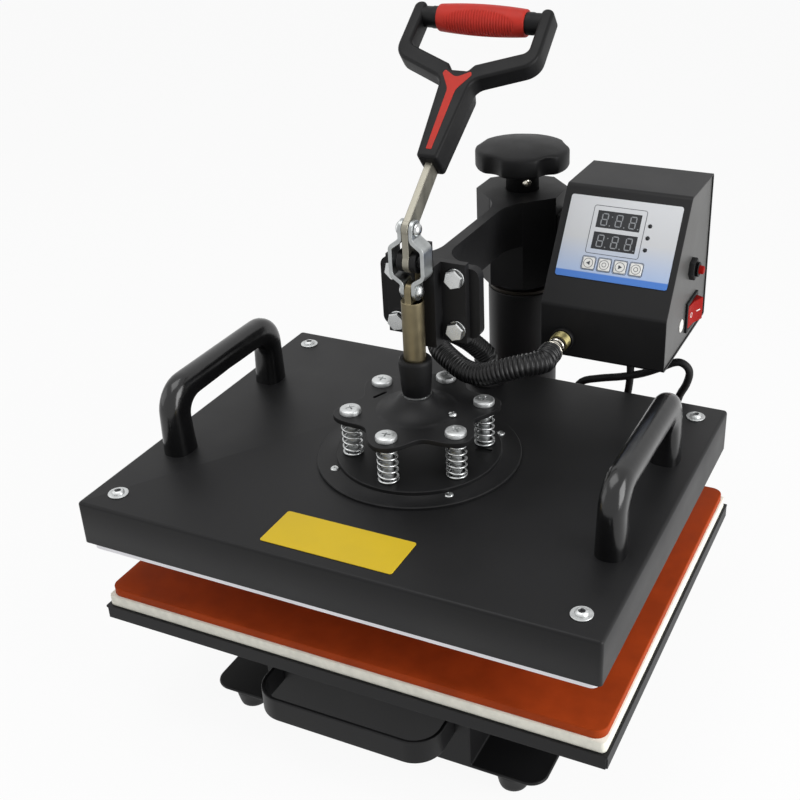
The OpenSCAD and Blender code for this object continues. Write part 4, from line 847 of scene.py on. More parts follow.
def floor():
    """White floor that keeps the shadow of the press."""
    outline = rounded(oblong(FLOOR_SIDE, FLOOR_SIDE, FLOOR_CORNER))
    made = raw_object("studio_floor", prism(bmesh.new(), outline, FLOOR_FOOT, FLOOR_TOP))
    paper = bpy.data.materials.new("white_paper_sweep")
    tree = bare_tree(paper)
    place = add(tree, "ShaderNodeTexCoord")
    fibre = add(tree, "ShaderNodeTexNoise", {"Vector": place.outputs["Object"], "Scale": 1 / (3 * MM)})
    relief = add(tree, "ShaderNodeBump", {"Height": fibre, "Distance": 0.02 * MM})
    matt = add(tree, "ShaderNodeBsdfDiffuse", {"Color": (0.9, 0.9, 0.9, 1), "Normal": relief})
    glow = add(tree, "ShaderNodeEmission", {"Color": (1, 1, 1, 1), "Strength": 1.0})
    share = add(tree, "ShaderNodeMath", {0: seen_rays(tree), 1: FLOOR_WHITE}, operation="MULTIPLY")
    both = add(tree, "ShaderNodeMixShader", {0: share, 1: matt, 2: glow})
    add(tree, "ShaderNodeOutputMaterial", {"Surface": both})
    made.data.materials.append(paper)


def softbox(name, place, aim, wide, high, watts):
    """Soft rectangular lamp."""
    lamp = bpy.data.lights.new(name, "AREA")
    lamp.shape = "RECTANGLE"
    lamp.size = wide * MM
    lamp.size_y = high * MM
    lamp.energy = watts
    made = linked(name, lamp)
    made.matrix_world = facing(Vector(place) * MM, Vector(place) - Vector(aim))


class PRESS_OT_stage(bpy.types.Operator):
    """Adds the camera, the lamps, the white surround and the floor"""

    bl_idname = "press.stage"
    bl_label = "Stage"

    def execute(self, context):
        context.scene.view_settings.view_transform = "Standard"
        camera()
        white_surround()
        floor()
        for lamp in SOFTBOXES:
            softbox(*lamp)
        return {"FINISHED"}


# Mains lead: route given from the gland to the floor, then a coil of two layers
GLAND_TIP = span("cord_gland")[0].z
LEAD_DIAMETER = 6.5
LEAD_IN_GLAND = 9
LEAD_ROUTE = (
    (111, 128, 233), (111, 128, 221), (111, 129, 205), (107.5, 131, 182), (97.5, 133, 163), (82, 134, 155),
    (67, 134, 161), (60.5, 133, 177), (67.5, 131, 191.5), (84, 129, 199), (104, 128, 205), (122, 127, 212),
    (138, 126, 221), (147.5, 126, 227), (154.2, 126, 228.7), (160, 126.3, 225.4), (162, 127, 219),
    (159.5, 128, 208), (152.5, 131, 190), (147, 138, 150), (145, 154, 105), (140, 180, 65), (129, 206, 36),
    (112, 224, 14), (93, 236, 5), (79.5, 250, 3.25),
)
# Coil of the lead on the floor: its middle, outer radius, step between turns and between layers, turns, and
# points to a turn; and the tie's half width and thickness, in millimetres
COIL_MIDDLE = (30, 266)
COIL_OUT = 43.2
COIL_STEP = 7.2
COIL_TURNS = 2
POINTS_PER_TURN = 24
TIE_HALF = 6.0
TIE_THICK = 0.6
# Plug: run of lead before it, its strain relief, body and pins
PLUG_RUN = 26
PLUG_TAIL = 16
PLUG_BODY = 34
PLUG_PINS = 17
PIN_IN_BODY = 3
PIN_APART = 6.5
PIN_THICK, PIN_WIDTH = 1.6, 6
# Sections of the plug's body: place along it, and shares of its width and height
PLUG_SECTIONS = (
    (0, 0.55, 0.5), (2, 0.72, 0.66), (8, 0.82, 0.8), (14, 0.86, 0.84), (20, 0.98, 0.98), (30, 1.0, 1.0),
    (33, 0.98, 0.98), (34, 0.93, 0.92),
)
# Heater hose: route read from the photograph, from the socket's nut to the gland in the cover
HOSE_ROUTE = (
    (79, 25, 271), (79, 16, 271), (79, 7, 271), (68, -4, 271), (52, -9, 266), (37, -9, 260), (22, -6, 258.7),
    (7, 0, 262), (-7, 9, 265.5), (-15, 22, 267), (-19, 38, 265), (-18, 54, 258), (-12, 68, 246.5),
    (-5, 77, 235), (0, 81, 227), (0, 81, 219), (0, 81, 211),
)
HOSE_DIAMETER = 18
HOSE_RIB = 1.7
HOSE_WALL = 2.2
HOSE_BORE = 9.2
HOSE_IN_NUT = 0.6
HOSE_IN_GLAND = 6


def coil_line():
    """Coil's middle line: spirals in, climbs a layer over half a turn, and spirals out to the plug."""
    radius = LEAD_DIAMETER / 2
    centre = Vector((*COIL_MIDDLE, radius))
    steps = 2 * POINTS_PER_TURN * COIL_TURNS
    top = steps // 2
    points = []
    for i in range(steps + 1):
        r = COIL_OUT - COIL_STEP * (top - abs(i - top)) / POINTS_PER_TURN
        climb = min(max((i - top + POINTS_PER_TURN / 4) / (POINTS_PER_TURN / 2), 0), 1)
        points.append(centre + polar(r, 2 * math.pi * i / POINTS_PER_TURN, COIL_STEP * climb))
    return points + [centre + Vector((COIL_OUT, PLUG_RUN, COIL_STEP))]


def mains_lead():
    """Lead from the box's gland, down behind the press to its coil and plug."""
    inside = Vector((LEAD_ROUTE[0][0], LEAD_ROUTE[0][1], GLAND_TIP + LEAD_IN_GLAND))
    route = [inside] + [Vector(point) for point in LEAD_ROUTE]
    path = smooth_line(route + coil_line(), 4)
    made = raw_object("mains_lead_cord", loft(bmesh.new(), tube_rings(path, LEAD_DIAMETER / 2, 14)))
    made.data.materials.append(finish_of("black_rubber"))
    made.data.shade_smooth()
    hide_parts("mains_lead", "mains_coil")
    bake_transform(made)
    mains_plug()
    plug_pins()
    coil_tie()


def plug_place():
    """Placement of the plug, its local Z axis along the lead."""
    return facing(coil_line()[-1], (0, 1, 0))


def mains_plug():
    """Moulded plug with a segmented strain relief and a waisted grip."""
    low, high = span("mains_plug")
    place = plug_place()
    segments = 5
    tail = []
    for k in range(segments + 1):
        ridge = 0.7 if k % 2 else 0.0
        tail.append((LEAD_DIAMETER / 2 + 1.4 * k / segments + ridge, PLUG_TAIL * k / segments))
    shape = lathe(bmesh.new(), [(0, 0)] + tail + [(0, PLUG_TAIL)], place, 24)
    rings = []
    for at, wide, tall in PLUG_SECTIONS:
        box = oblong((high.x - low.x) * wide, (high.z - low.z) * tall, 5 * wide)
        rings.append(placed(rounded(box, 15), PLUG_TAIL - 1 + at, place))
    loft(shape, rings)
    return piece("mains_plug_body", shape, "black_rubber", "base", ("mains_plug",))


def plug_pins():
    """Two flat pins of the plug, each with a narrower tip."""
    shape = bmesh.new()
    start = PLUG_TAIL + PLUG_BODY - PIN_IN_BODY
    for x in (-PIN_APART, PIN_APART):
        place = plug_place() @ Matrix.Translation((0, x, 0))
        for reach, inset in ((1.5, 0), (2.9, 0.5)):
            outline = rounded(oblong(PIN_THICK - inset, PIN_WIDTH - inset, 0.3))
            prism(shape, outline, start, start + PLUG_PINS + reach, place)
    return piece("mains_plug_pins", shape, "chromated_brass", "base")


def coil_tie():
    """Hook-and-loop band round the coil's turns."""
    outer, inner = COIL_OUT + 0.3, COIL_OUT - 2 * COIL_STEP - 0.6
    wide, tall = outer - inner, COIL_STEP + LEAD_DIAMETER + 1.0
    at = Matrix.Translation((COIL_MIDDLE[0] - (outer + inner) / 2, COIL_MIDDLE[1], 0))
    lines = []
    for inset, radius in ((0, 3.0), (2 * TIE_THICK, 2.4)):
        box = oblong(wide - inset, tall - inset, radius)
        lines.append(rounded([(x, y + tall / 2, r) for x, y, r in box], 15))
    shape = hoop(bmesh.new(), *lines, TIE_HALF, -TIE_HALF, at @ turned(90, "X"))
    return piece("coil_tie", shape, "black_rubber", "base")


def heater_hose():
    """Corrugated hose from the box's socket, round in front of the arm and down into the cover."""
    route = [Vector(point) for point in HOSE_ROUTE]
    start = route[0] + (route[0] - route[1]).normalized() * HOSE_IN_NUT
    end = route[-1] + (route[-1] - route[-2]).normalized() * HOSE_IN_GLAND
    path = [start] + smooth_line(route, 12) + [end]
    mesh = bpy.data.meshes.new("heater_hose_ribbed")
    mesh.from_pydata([point * MM for point in path], [(i, i + 1) for i in range(len(path) - 1)], [])
    made = linked("heater_hose_ribbed", mesh)
    radius = HOSE_DIAMETER / 2
    values = {
        "Ribs": sizes().hose_ribs,
        "Radius": radius * MM,
        "Valley": (radius - HOSE_RIB) / radius,
        "Finish": finish_of("corrugated_polyamide"),
    }
    settle(made, hose_tree(), values)
    wall = made.modifiers.new("wall", "SOLIDIFY")
    wall.thickness = HOSE_WALL * MM
    wall.offset = -1
    solid = evaluated(made)
    made.modifiers.clear()
    made.data = solid
    solid.shade_smooth()
    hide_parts("heater_hose")
    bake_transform(made)


class PRESS_OT_cords(bpy.types.Operator):
    """Lays the mains lead with its coil, tie and plug, and bends the heater hose"""

    bl_idname = "press.cords"
    bl_label = "Cords"

    def execute(self, context):
        mains_lead()
        heater_hose()
        return {"FINISHED"}


FOOT_RADIUS = 14
FOOT_PROFILE = (
    (0, 5), (4.5, 5), (4.5, 0.3), (5.2, 0), (9.6, 0), (10.7, 0.9), (11.6, 4), (13.4, 13),
    (FOOT_RADIUS, 14.6), (FOOT_RADIUS, 16), (0, 16),
)


def corner_places(node, inset, z):
    """Points at the four corners of a solid's box, moved in from its sides."""
    low, high = span(node)
    return [(x, y, z) for x in (low.x + inset, high.x - inset) for y in (low.y + inset, high.y - inset)]


def rubber_feet():
    """Four turned rubber feet with a screw hollow below."""
    foot = span("base_frame")[0].z - height_of("rubber_feet")
    places = [Matrix.Translation(at) for at in corner_places("rubber_feet", FOOT_RADIUS, foot)]
    shape = lathe(bmesh.new(), FOOT_PROFILE, steps=36)
    repeat("rubber_feet_turned", shape, places, "black_rubber", "base", ("rubber_feet",))


class PRESS_OT_base(bpy.types.Operator):
    """Finishes the base channel, its feet and pull handle, the table rails and the column"""

    bl_idname = "press.base"
    bl_label = "Base"

    def execute(self, context):
        softened("base_channel", "base_frame", "satin_powder_coat", 1.4)
        rubber_feet()
        edge = sizes().sheet_edge / MM
        softened("pull_handle_strip", "pull_handle", "satin_powder_coat", edge)
        softened("table_rails_sawn", "table_rails", "satin_powder_coat", 0.6)
        softened("column_turned", "column", "satin_powder_coat", 1.0)
        return {"FINISHED"}


def table_pad(name, node, finish, corner, profile):
    """Pad on the table, its wall drawn as (inset, height) pairs from its foot to its top."""
    shape = slab(bmesh.new(), *span(node), corner, profile)
    made = piece(name, shape, finish, "base", (node,))


def felt_slab():
    """Felt pad, bulging a little where the pad above presses it."""
    top = height_of("felt_pad")
    profile = ((0.5, 0), (0.1, 0.6), (0, 2), (0.2, top / 2), (0.05, top - 1.6), (0.3, top - 0.4), (0.9, top))
    table_pad("felt_pad_pressed", "felt_pad", "pressed_felt", 4, profile)


def silicone_slab():
    """Silicone pad with crisp edges and a slightly hollow wall."""
    top = height_of("silicone_pad")
    profile = [(0.6, 0), (0.15, 0.4), (0, 1), (0.15, top / 2)] + quarter_round(sizes().pad_round / MM, top)
    table_pad("silicone_pad_moulded", "silicone_pad", "brick_red_silicone", 9, profile)


class PRESS_OT_table(bpy.types.Operator):
    """Finishes the folded table tray and lays its felt and silicone pads"""

    bl_idname = "press.table"
    bl_label = "Table"

    def execute(self, context):
        softened("table_tray", "lower_tray", "satin_powder_coat", 0.8)
        felt_slab()
        silicone_slab()
        return {"FINISHED"}


# Flange bolts: height of head and washer, width across flats, how far in from their box, and their turn
BOLT_HEAD = 5.5
BOLT_WASHER = 1.2
BOLT_FLATS = 13
BOLT_INSET = 7.5
BOLT_TURN = 17
WASHER_PROFILE = ((4.2, 0), (7.3, 0), (7.3, 1.0), (7.0, 1.3), (4.2, 1.3))


def flange_bolts():
    """Chamfered hexagon bolts on small washers on the guide block's plate."""
    low, high = span("bracket_bolts")
    shape = lathe(bmesh.new(), WASHER_PROFILE, steps=36, closed=True)
    place = Matrix.Translation((0, 0, BOLT_WASHER))
    corner = BOLT_FLATS / 2 / math.cos(math.pi / 6)
    head = BOLT_HEAD - BOLT_WASHER
    lathe(shape, ring_profile(0, BOLT_FLATS / 2 - 0.4, 0, 0.5), place, 36)
    lathe(shape, ((corner, 0.4), (corner, head - 1.1), (corner * 0.9, head)), place, 6)
    seat = low.y + BOLT_HEAD + 0.02
    up = BOLT_INSET * 0.87
    places = [
        facing((x, seat, z), (0, -1, 0), BOLT_TURN)
        for x in (low.x + BOLT_INSET, high.x - BOLT_INSET)
        for z in (low.z + up, high.z - up)
    ]
    repeat("flange_bolts_hex", shape, places, "bright_zinc_plate", "arm", ("bracket_bolts",), 30)


class PRESS_OT_arm(bpy.types.Operator):
    """Finishes the swing arm, its guide block, bolts and bearings"""

    bl_idname = "press.arm"
    bl_label = "Swing arm"

    def execute(self, context):
        softened("swing_arm_cast", "swing_arm", "cast_powder_coat", sizes().cast_edge / MM)
        softened("guide_block_milled", "guide_block", "satin_powder_coat", 0.7)
        softened("box_bracket_bar", "box_bracket", "satin_powder_coat", 0.8)
        softened("pivot_pin_ground", "pivot_pin", "bright_zinc_plate", 0.6)
        softened("thrust_washer_bronze", "thrust_washer", "oiled_bronze", 0.4)
        softened("swing_sleeve_ground", "swing_sleeve", "black_oxide_steel", 0.5)
        flange_bolts()
        return {"FINISHED"}


# Pressure knob: neck, height of its rim above its foot, and radius, depth and softness of its scallops
KNOB_NECK = 14
KNOB_RIM = 20
KNOB_SCALLOP, KNOB_DEPTH, KNOB_SOFT = 17, 4, 0.7
KNOB_STEPS = 160
# Inset and height above the rim, up the lobed wall to where the crown starts
KNOB_WALL = (
    (6, 0.1), (2.4, 0.3), (0.8, 1.0), (0, 2.6), (0, 13.4), (0.3, 14.8), (1.1, 16), (2.4, 16.8), (4.4, 17.4),
)
# Set screw in the neck: angle round it, height above its foot and distance from the axis
SET_SCREW_ANGLE, SET_SCREW_UP, SET_SCREW_OUT = -52, 9.2, 13.3
THREAD_PITCH = 2.0
THREAD_DEPTH = 0.9


def knob_radius(angle, radius, lobes):
    """Radius of the knob's rim at an angle, with a soft scallop between lobes."""
    step = 2 * math.pi / lobes
    off = (angle - math.pi + step / 2) % step - step / 2
    reach = radius + KNOB_SCALLOP - KNOB_DEPTH
    inside = KNOB_SCALLOP**2 - (reach * math.sin(off)) ** 2
    if inside <= 0:
        return radius
    cut = reach * math.cos(off) - math.sqrt(inside)
    if cut >= radius + 6:
        return radius
    return radius - KNOB_SOFT * math.log(1 + math.exp((radius - cut) / KNOB_SOFT))


def pressure_knob():
    """Lobed knob: neck, scalloped rim and shallow crown in one moulding."""
    low, high = span("pressure_knob")
    radius = (high.x - low.x) / 2
    rim = low.z + KNOB_RIM
    angles = ring_angles(KNOB_STEPS)
    lobed = [knob_radius(a, radius, sizes().knob_lobes) for a in angles]
    axis = Vector((0, COLUMN_Y, 0))
    rings = [[axis + Vector((0, 0, low.z))]]

    def ring(radii, height):
        rings.append([axis + polar(r, a, height) for r, a in zip(radii, angles)])

    neck = ((-0.9, low.z), (0, low.z + 0.9), (0, rim - 3), (1.2, rim - 0.8), (4, rim))
    for wider, height in neck:
        ring([KNOB_NECK + wider] * KNOB_STEPS, height)
    for inset, height in KNOB_WALL:
        fade = min(max((18 - height) / 4, 0), 1)
        ring([radius - inset - fade * (radius - r) for r in lobed], rim + height)
    last_inset, edge = KNOB_WALL[-1][0], rim + KNOB_WALL[-1][1]
    crown = high.z - 0.2
    for share in (0.88, 0.74, 0.58, 0.4, 0.2):
        ring([(radius - last_inset) * share] * KNOB_STEPS, crown - (crown - edge) * share**2)
    rings.append([axis + Vector((0, 0, crown))])
    shape = loft(bmesh.new(), rings)
    finish, slot = "moulded_black_nylon", "black_plastic"
    piece("pressure_knob_moulded", shape, finish, "knob", ("pressure_knob",), crease=50)


def cross_head(profile, steps, depth, reach):
    """Turned screw head with a cross recess, its seat at nought."""
    top = max(z for _, z in profile)
    wide = reach * 0.26
    foot = rounded(oblong(reach * 1.1, wide * 0.7, 0.15))
    mouth = rounded(oblong(reach * 2, wide * 1.2, 0.25))
    tools = []
    for place in (turned(0), turned(90)):
        tools.append(loft(bmesh.new(), [placed(foot, top - depth, place), placed(mouth, top + 0.5, place)]))
    return carved(lathe(bmesh.new(), profile, steps=steps), *tools)


def knob_screw():
    """Round-headed set screw in the knob's neck, with a cross recess."""
    outward = polar(1, math.radians(SET_SCREW_ANGLE))
    profile = ((0, 0), (3.8, 0), (3.8, 1.0), (3.3, 1.9), (2.1, 2.5), (0, 2.7))
    foot = Vector((0, COLUMN_Y, span("pressure_knob")[0].z + SET_SCREW_UP))
    places = [facing(foot + outward * SET_SCREW_OUT, outward)]
    head = cross_head(profile, 28, 1.3, 2.1)
    repeat("knob_set_screw", head, places, "nickel_plate", "knob", crease=30)


def knob_thread():
    """Spindle with its thread showing between hub and knob."""
    low, high = span("knob_spindle")
    radius = (high.x - low.x) / 2
    root = radius - THREAD_DEPTH
    profile = [(0, low.z), (radius - 1, low.z)]
    for i in range(int((high.z - low.z) / THREAD_PITCH)):
        at = low.z + 0.6 + i * THREAD_PITCH
        profile += [(root, at), (radius, at + 0.7), (radius, at + 1.0), (root, at + 1.7)]
    profile += [(radius - 1, high.z), (0, high.z)]
    shape = lathe(bmesh.new(), profile, Matrix.Translation((0, COLUMN_Y, 0)), 36)
    piece("knob_spindle_threaded", shape, "black_oxide_steel", "knob", ("knob_spindle",))


class PRESS_OT_knob(bpy.types.Operator):
    """Moulds the pressure knob with its set screw and threaded spindle"""

    bl_idname = "press.knob"
    bl_label = "Pressure knob"

    def execute(self, context):
        pressure_knob()
        knob_screw()
        knob_thread()
        return {"FINISHED"}


# Handle along the lever, in millimetres from the upper link pivot
NECK_FRONT = 14.25
ARM_BACK = -1.75
NECK_BACK = -8.25
NECK_FOOT = 50
GRIP_AT = 176
GRIP_FORWARD = 6.25
FORK_HALF = [
    (8, NECK_FOOT, 3), (12.4, 117.3, 10), (56.4, 135.3, 15), (55.6, 184.5, 5), (46, 184.5, 4),
    (46.6, 145.5, 6), (10.2, 131, 3), (6.4, 125.4, 2),
]
NECK_HALF = [(7.9, NECK_FOOT + 0.1, 3), (11.9, 112, 8), (7.9, 122, 6)]
INLAY_HALF = [(2.1, 56.5, 0.8), (3.2, 108, 10), (11.3, 120.8, 1.3), (10.2, 124.3, 1.3), (0, 118, 6)]
FERRULE_PROFILE = ((0, 30), (7.8, 30), (8.2, 36), (8.2, 40), (7.8, 41), (7.8, 48), (0, 48))
# Grip: largest radius, radius of its barrel, and rounding of its ends along it and across
GRIP_RADIUS = 11.5
GRIP_BARREL = 380
GRIP_END = 1.2
GRIP_END_DROP = 0.9
# Leaf of grooves on the grip: where its middle is, its half angle and half length
LEAF_MIDDLE, LEAF_HALF_ANGLE = math.radians(60), math.radians(62)
LEAF_HALF_LENGTH = 30


def handle_fork():
    """Fork and neck moulded round the lever's end, open below where the bar goes in."""
    shape = soft_prism(bmesh.new(), rounded(mirrored(FORK_HALF)), ARM_BACK, NECK_FRONT, LEVER, 2.6)
    spine = soft_prism(bmesh.new(), rounded(mirrored(NECK_HALF)), NECK_BACK, NECK_FRONT - 2.7, LEVER, 2.2)
    foot = LEVER @ Matrix.Translation((0, NECK_FOOT, 0))
    pocket = prism(bmesh.new(), rounded(oblong(5.4, 24, 0.3)), -7.2, 7.2, foot)
    hollow = carved(carved(shape, spine, operation="UNION"), pocket)
    finish, slot = "moulded_black_nylon", "black_plastic"
    piece("handle_fork_moulded", hollow, finish, "lever", ("handle_yoke",), crease=50)


def handle_ferrules():
    """Black ferrules and core that carry the grip."""
    shape = bmesh.new()
    place = LEVER @ Matrix.Translation((0, GRIP_AT, GRIP_FORWARD)) @ turned(90, "Y")
    for side in (-1, 1):
        lathe(shape, [(r, side * z) for r, z in FERRULE_PROFILE], place)
    piece("handle_ferrules", shape, "moulded_black_nylon", "lever")


def handle_grip():
    """Red barrel with fine grooves in a leaf-shaped field on its finger side."""
    low, high = span("handle_grip")
    half = (high.x - low.x) / 2
    groove, pitch = sizes().groove / MM, sizes().groove_pitch / MM
    place = LEVER @ Matrix.Translation((0, GRIP_AT, GRIP_FORWARD))
    around, along = 72, 300
    rings = [[place @ Vector((-half, 0, 0))]]
    for i in range(along + 1):
        x = -half + 2 * half * i / along
        end = min(half - abs(x), GRIP_END) / GRIP_END
        base = GRIP_RADIUS - x * x / (2 * GRIP_BARREL) - GRIP_END_DROP * (1 - math.sqrt(1 - (1 - end) ** 2))
        wave = 0.5 - 0.5 * math.cos(2 * math.pi * x / pitch)
        ring = []
        for angle in ring_angles(around):
            off = (angle - LEAF_MIDDLE + math.pi) % (2 * math.pi) - math.pi
            leaf = 1 - (x / LEAF_HALF_LENGTH) ** 2 - (off / LEAF_HALF_ANGLE) ** 2
            r = base - groove * min(max(leaf * 5, 0), 1) * wave
            ring.append(place @ Vector((x, -r * math.sin(angle), r * math.cos(angle))))
        rings.append(ring)
    rings.append([place @ Vector((half, 0, 0))])
    shape = loft(bmesh.new(), rings)
    piece("handle_grip_red", shape, "red_moulded_rubber", "lever", ("handle_grip",), crease=60)


def handle_inlay():
    """Red inlay that forks at the top of the neck."""
    outline = rounded(mirrored(INLAY_HALF))
    shape = prism(bmesh.new(), outline, NECK_FRONT - 1.4, NECK_FRONT + 0.35, LEVER)
    piece("handle_inlay_red", shape, "red_moulded_rubber", "lever", ("handle_inlay",), 0.3)


# Round heads of the link's pin and rivets: radius, upright rim, and the shank between them
DOME_RADIUS = 4.7
DOME_RIM = 0.8
SHANK_RADIUS = 4


def dome_pair(name, node, seat, tall, shank):
    """Round heads on both sides of the links, with a plain shank between them or none."""
    at = middle(node)
    shape = bmesh.new()
    angles = [k * math.pi / 12 for k in range(6)]
    dome = [(DOME_RADIUS * math.cos(a), DOME_RIM + (tall - DOME_RIM) * math.sin(a)) for a in angles]
    for side in (-1, 1):
        place = facing((side * seat, at.y, at.z), (side, 0, 0))
        lathe(shape, [(0, 0), (DOME_RADIUS, 0)] + dome + [(0, tall)], place, 32)
    if shank:
        lathe(shape, ring_profile(0, SHANK_RADIUS, -seat, seat), facing(at, (1, 0, 0)), 32)
    piece(name, shape, "bright_zinc_plate", body_of(node), (node,))


class PRESS_OT_lever(bpy.types.Operator):
    """Finishes the lever bar and its forked handle, red grip and inlay"""

    bl_idname = "press.lever"
    bl_label = "Lever and handle"

    def execute(self, context):
        softened("lever_bar_plated", "lever_bar", "zinc_plated_strip", 0.6)
        handle_fork()
        handle_ferrules()
        handle_grip()
        handle_inlay()
        dome_pair("link_pin_domed", "link_pin", 6.1, 3.4, True)
        return {"FINISHED"}


# Link straps: thickness, and distance from the middle at their ends and at their belly
STRAP_THICK = 3
STRAP_NEAR = 2.8
STRAP_FAR = 11


def link_straps():
    """Two strips bent out round the lever and the rod, with round ends."""
    low, high = span("link_straps")
    wide = high.y - low.y
    near, far = STRAP_NEAR, STRAP_FAR
    near_out, far_out = near + STRAP_THICK, far + STRAP_THICK
    bends = (low.z + 12.75, low.z + 18.25, high.z - 19.15, high.z - 13.25)
    half = [
        (near_out, low.z, 0), (near_out, bends[0], 2.5), (far_out, bends[1], 6), (far_out, bends[2], 6),
        (near_out, bends[3], 2.5), (near_out, high.z, 0), (near, high.z, 0), (near, bends[3] - 2, 5.5),
        (far, bends[2] - 2, 3), (far, bends[1] + 2, 3), (near, bends[0] + 2, 5.5), (near, low.z, 0),
    ]
    other = [(-x, z, r) for x, z, r in reversed(half)]
    shape = bmesh.new()
    for corners in (half, other):
        prism(shape, rounded(corners), -wide / 2, wide / 2, RAM @ turned(90, "X"))
    across = Matrix.Translation((0, RAM_Y, (low.z + high.z) / 2)) @ SIDEWAYS
    ends = prism(bmesh.new(), rounded(oblong(wide, high.z - low.z, wide / 2 - 0.02)), -30, 30, across)
    bent = carved(shape, ends, operation="INTERSECT")
    piece("link_straps_bent", bent, "zinc_plated_straps", "links", ("link_straps",), 0.4, 30)


class PRESS_OT_links(bpy.types.Operator):
    """Finishes the bent link straps and their lower rivets"""

    bl_idname = "press.links"
    bl_label = "Link straps"

    def execute(self, context):
        link_straps()
        dome_pair("strap_rivets_domed", "strap_rivets", 5.8, 3.2, False)
        return {"FINISHED"}


# Star plate: how far its lobes stand out, where its slot and small screw are, and points round it
STAR_LOBES = 6
STAR_FIRST = 30
STAR_SWING = 8
STAR_STEPS = 180
STAR_SLOT = (-36, 8, 0)
STAR_SLOT_TURN = 69
STAR_SCREW = (29.5, -1)
# Collar: bore, bright ring under it, and the boss that flares into the star plate
COLLAR_BORE = 8.35
COLLAR_FOOT = 13.4
RING_RADIUS = 10.9
BOSS_FLARE = (
    (COLLAR_BORE, 0), (31.5, 0), (29, 0.3), (26, 1), (23.4, 2), (20.6, 3.5), (18, 5.4), (15.4, 7.9),
    (13, 10.8), (12.3, 12),
)


def star_plate():
    """Six-lobed plate with smooth valleys and a slot, under the push rod."""
    radius = (STAR_HIGH.y - STAR_LOW.y) / 2
    outline = []
    for angle in ring_angles(STAR_STEPS):
        wave = math.cos(STAR_LOBES * (angle - math.radians(STAR_FIRST)))
        outline.append(polar(radius - STAR_SWING + STAR_SWING * wave, angle))
    shape = prism(bmesh.new(), outline, STAR_LOW.z, STAR_HIGH.z, RAM)
    slit = RAM @ Matrix.Translation(STAR_SLOT) @ turned(STAR_SLOT_TURN)
    slot = prism(bmesh.new(), rounded(oblong(13, 2.2, 0.9)), STAR_LOW.z - 1, STAR_HIGH.z + 1, slit)
    cut = carved(shape, slot)
    piece("star_plate_cut", cut, "satin_powder_coat", "head", ("star_plate",), 0.7)


def star_screw():
    """Small screw beside the rod on the star plate."""
    profile = ((0, 0), (3.4, 0), (3.4, 0.6), (2.9, 1.5), (1.8, 2.0), (0, 2.2))
    places = [RAM @ Matrix.Translation((*STAR_SCREW, STAR_HIGH.z + 0.6))]
    head = cross_head(profile, 28, 1.2, 2.0)
    repeat("star_plate_screw", head, places, "bright_zinc_plate", "head", crease=30)


def rod_collar():
    """Collar on the rod: moulded sleeve over a bright ring, on a boss that flares into the plate."""
    low, high = span("rod_collar")
    radius = (high.x - low.x) / 2
    bore = COLLAR_BORE
    foot, top = low.z + COLLAR_FOOT, high.z - 4
    profile = (
        (bore, foot), (radius - 2.4, foot), (radius - 1.9, foot + 0.9), (radius - 1.1, foot + 10),
        (radius - 0.2, top - 3), (radius - 0.6, top - 0.8), (radius - 1.4, top), (bore + 0.8, top),
        (bore, top - 0.8),
    )
    sleeve = lathe(bmesh.new(), profile, RAM, 64, closed=True)
    piece("rod_collar_moulded", sleeve, "moulded_black_nylon", "head", ("rod_collar",))
    ring = lathe(bmesh.new(), ring_profile(bore, RING_RADIUS, foot - 1, foot), RAM, 48, closed=True)
    piece("rod_ring", ring, "bright_zinc_plate", "head")
    flare = [(r, low.z + z) for r, z in BOSS_FLARE] + [(11.6, foot - 1), (bore, foot - 1)]
    boss = lathe(bmesh.new(), flare, RAM, 72, closed=True)
    piece("star_boss", boss, "satin_powder_coat", "head", crease=60)


class PRESS_OT_head(bpy.types.Operator):
    """Finishes the push rod, its collar and the star plate"""

    bl_idname = "press.head"
    bl_label = "Push rod and star plate"

    def execute(self, context):
        softened("push_rod_ground", "push_rod", "yellow_chromated_bar", 0.5)
        rod_collar()
        star_plate()
        star_screw()
        return {"FINISHED"}


# Springs and their screws: pitch circle, outer radius and gap left at both ends
SPRING_PITCH = 50
SPRING_RADIUS = 8
SPRING_GAP = 0.3
# Spring seat's step and its screws, in millimetres from the ram
SEAT_INNER = 63
SEAT_SCREW_PITCH = 66.6
SCREW_TURN = 47
BUTTON_PROFILE = (
    (0, 0.9), (4.7, 0.9), (4.75, 1.2), (4.3, 2.3), (3.4, 3.1), (2.6, 3.3), (2.4, 3.1), (2.4, 1.6), (0, 1.6),
)
CORNER_WASHER = ((0, 0), (7.2, 0), (7.5, 0.3), (7.5, 0.7), (7.2, 1.0), (0, 1.0))
CORNER_INSET = 7.5


def circle_places(radius, count, first, z):
    """Placements round the ram, the first at some degrees from +X, each turned on by the same angle."""
    places = []
    for k in range(count):
        at = Matrix.Translation(polar(radius, math.radians(first + 360 * k / count), z))
        places.append(RAM @ at @ turned(SCREW_TURN * k))
    return places


def spring_screws():
    """Pan-headed screws that hang the heater from the star plate."""
    foot = span("spring_screws")[0].z - STAR_HIGH.z
    profile = (
        (0, foot), (4, foot), (4, 0), (7.8, 0), (8, 0.3), (8, 2.6), (7.7, 3.4), (6.9, 4.0), (4, 4.4),
        (0, 4.5),
    )
    head = cross_head(profile, 40, 2.0, 4.2)
    places = circle_places(SPRING_PITCH, STAR_LOBES, STAR_FIRST, STAR_HIGH.z)
    stands_for = ("spring_screws",)
    repeat("spring_screws_pan", head, places, "dull_zinc_plate", "platen", stands_for, 32)


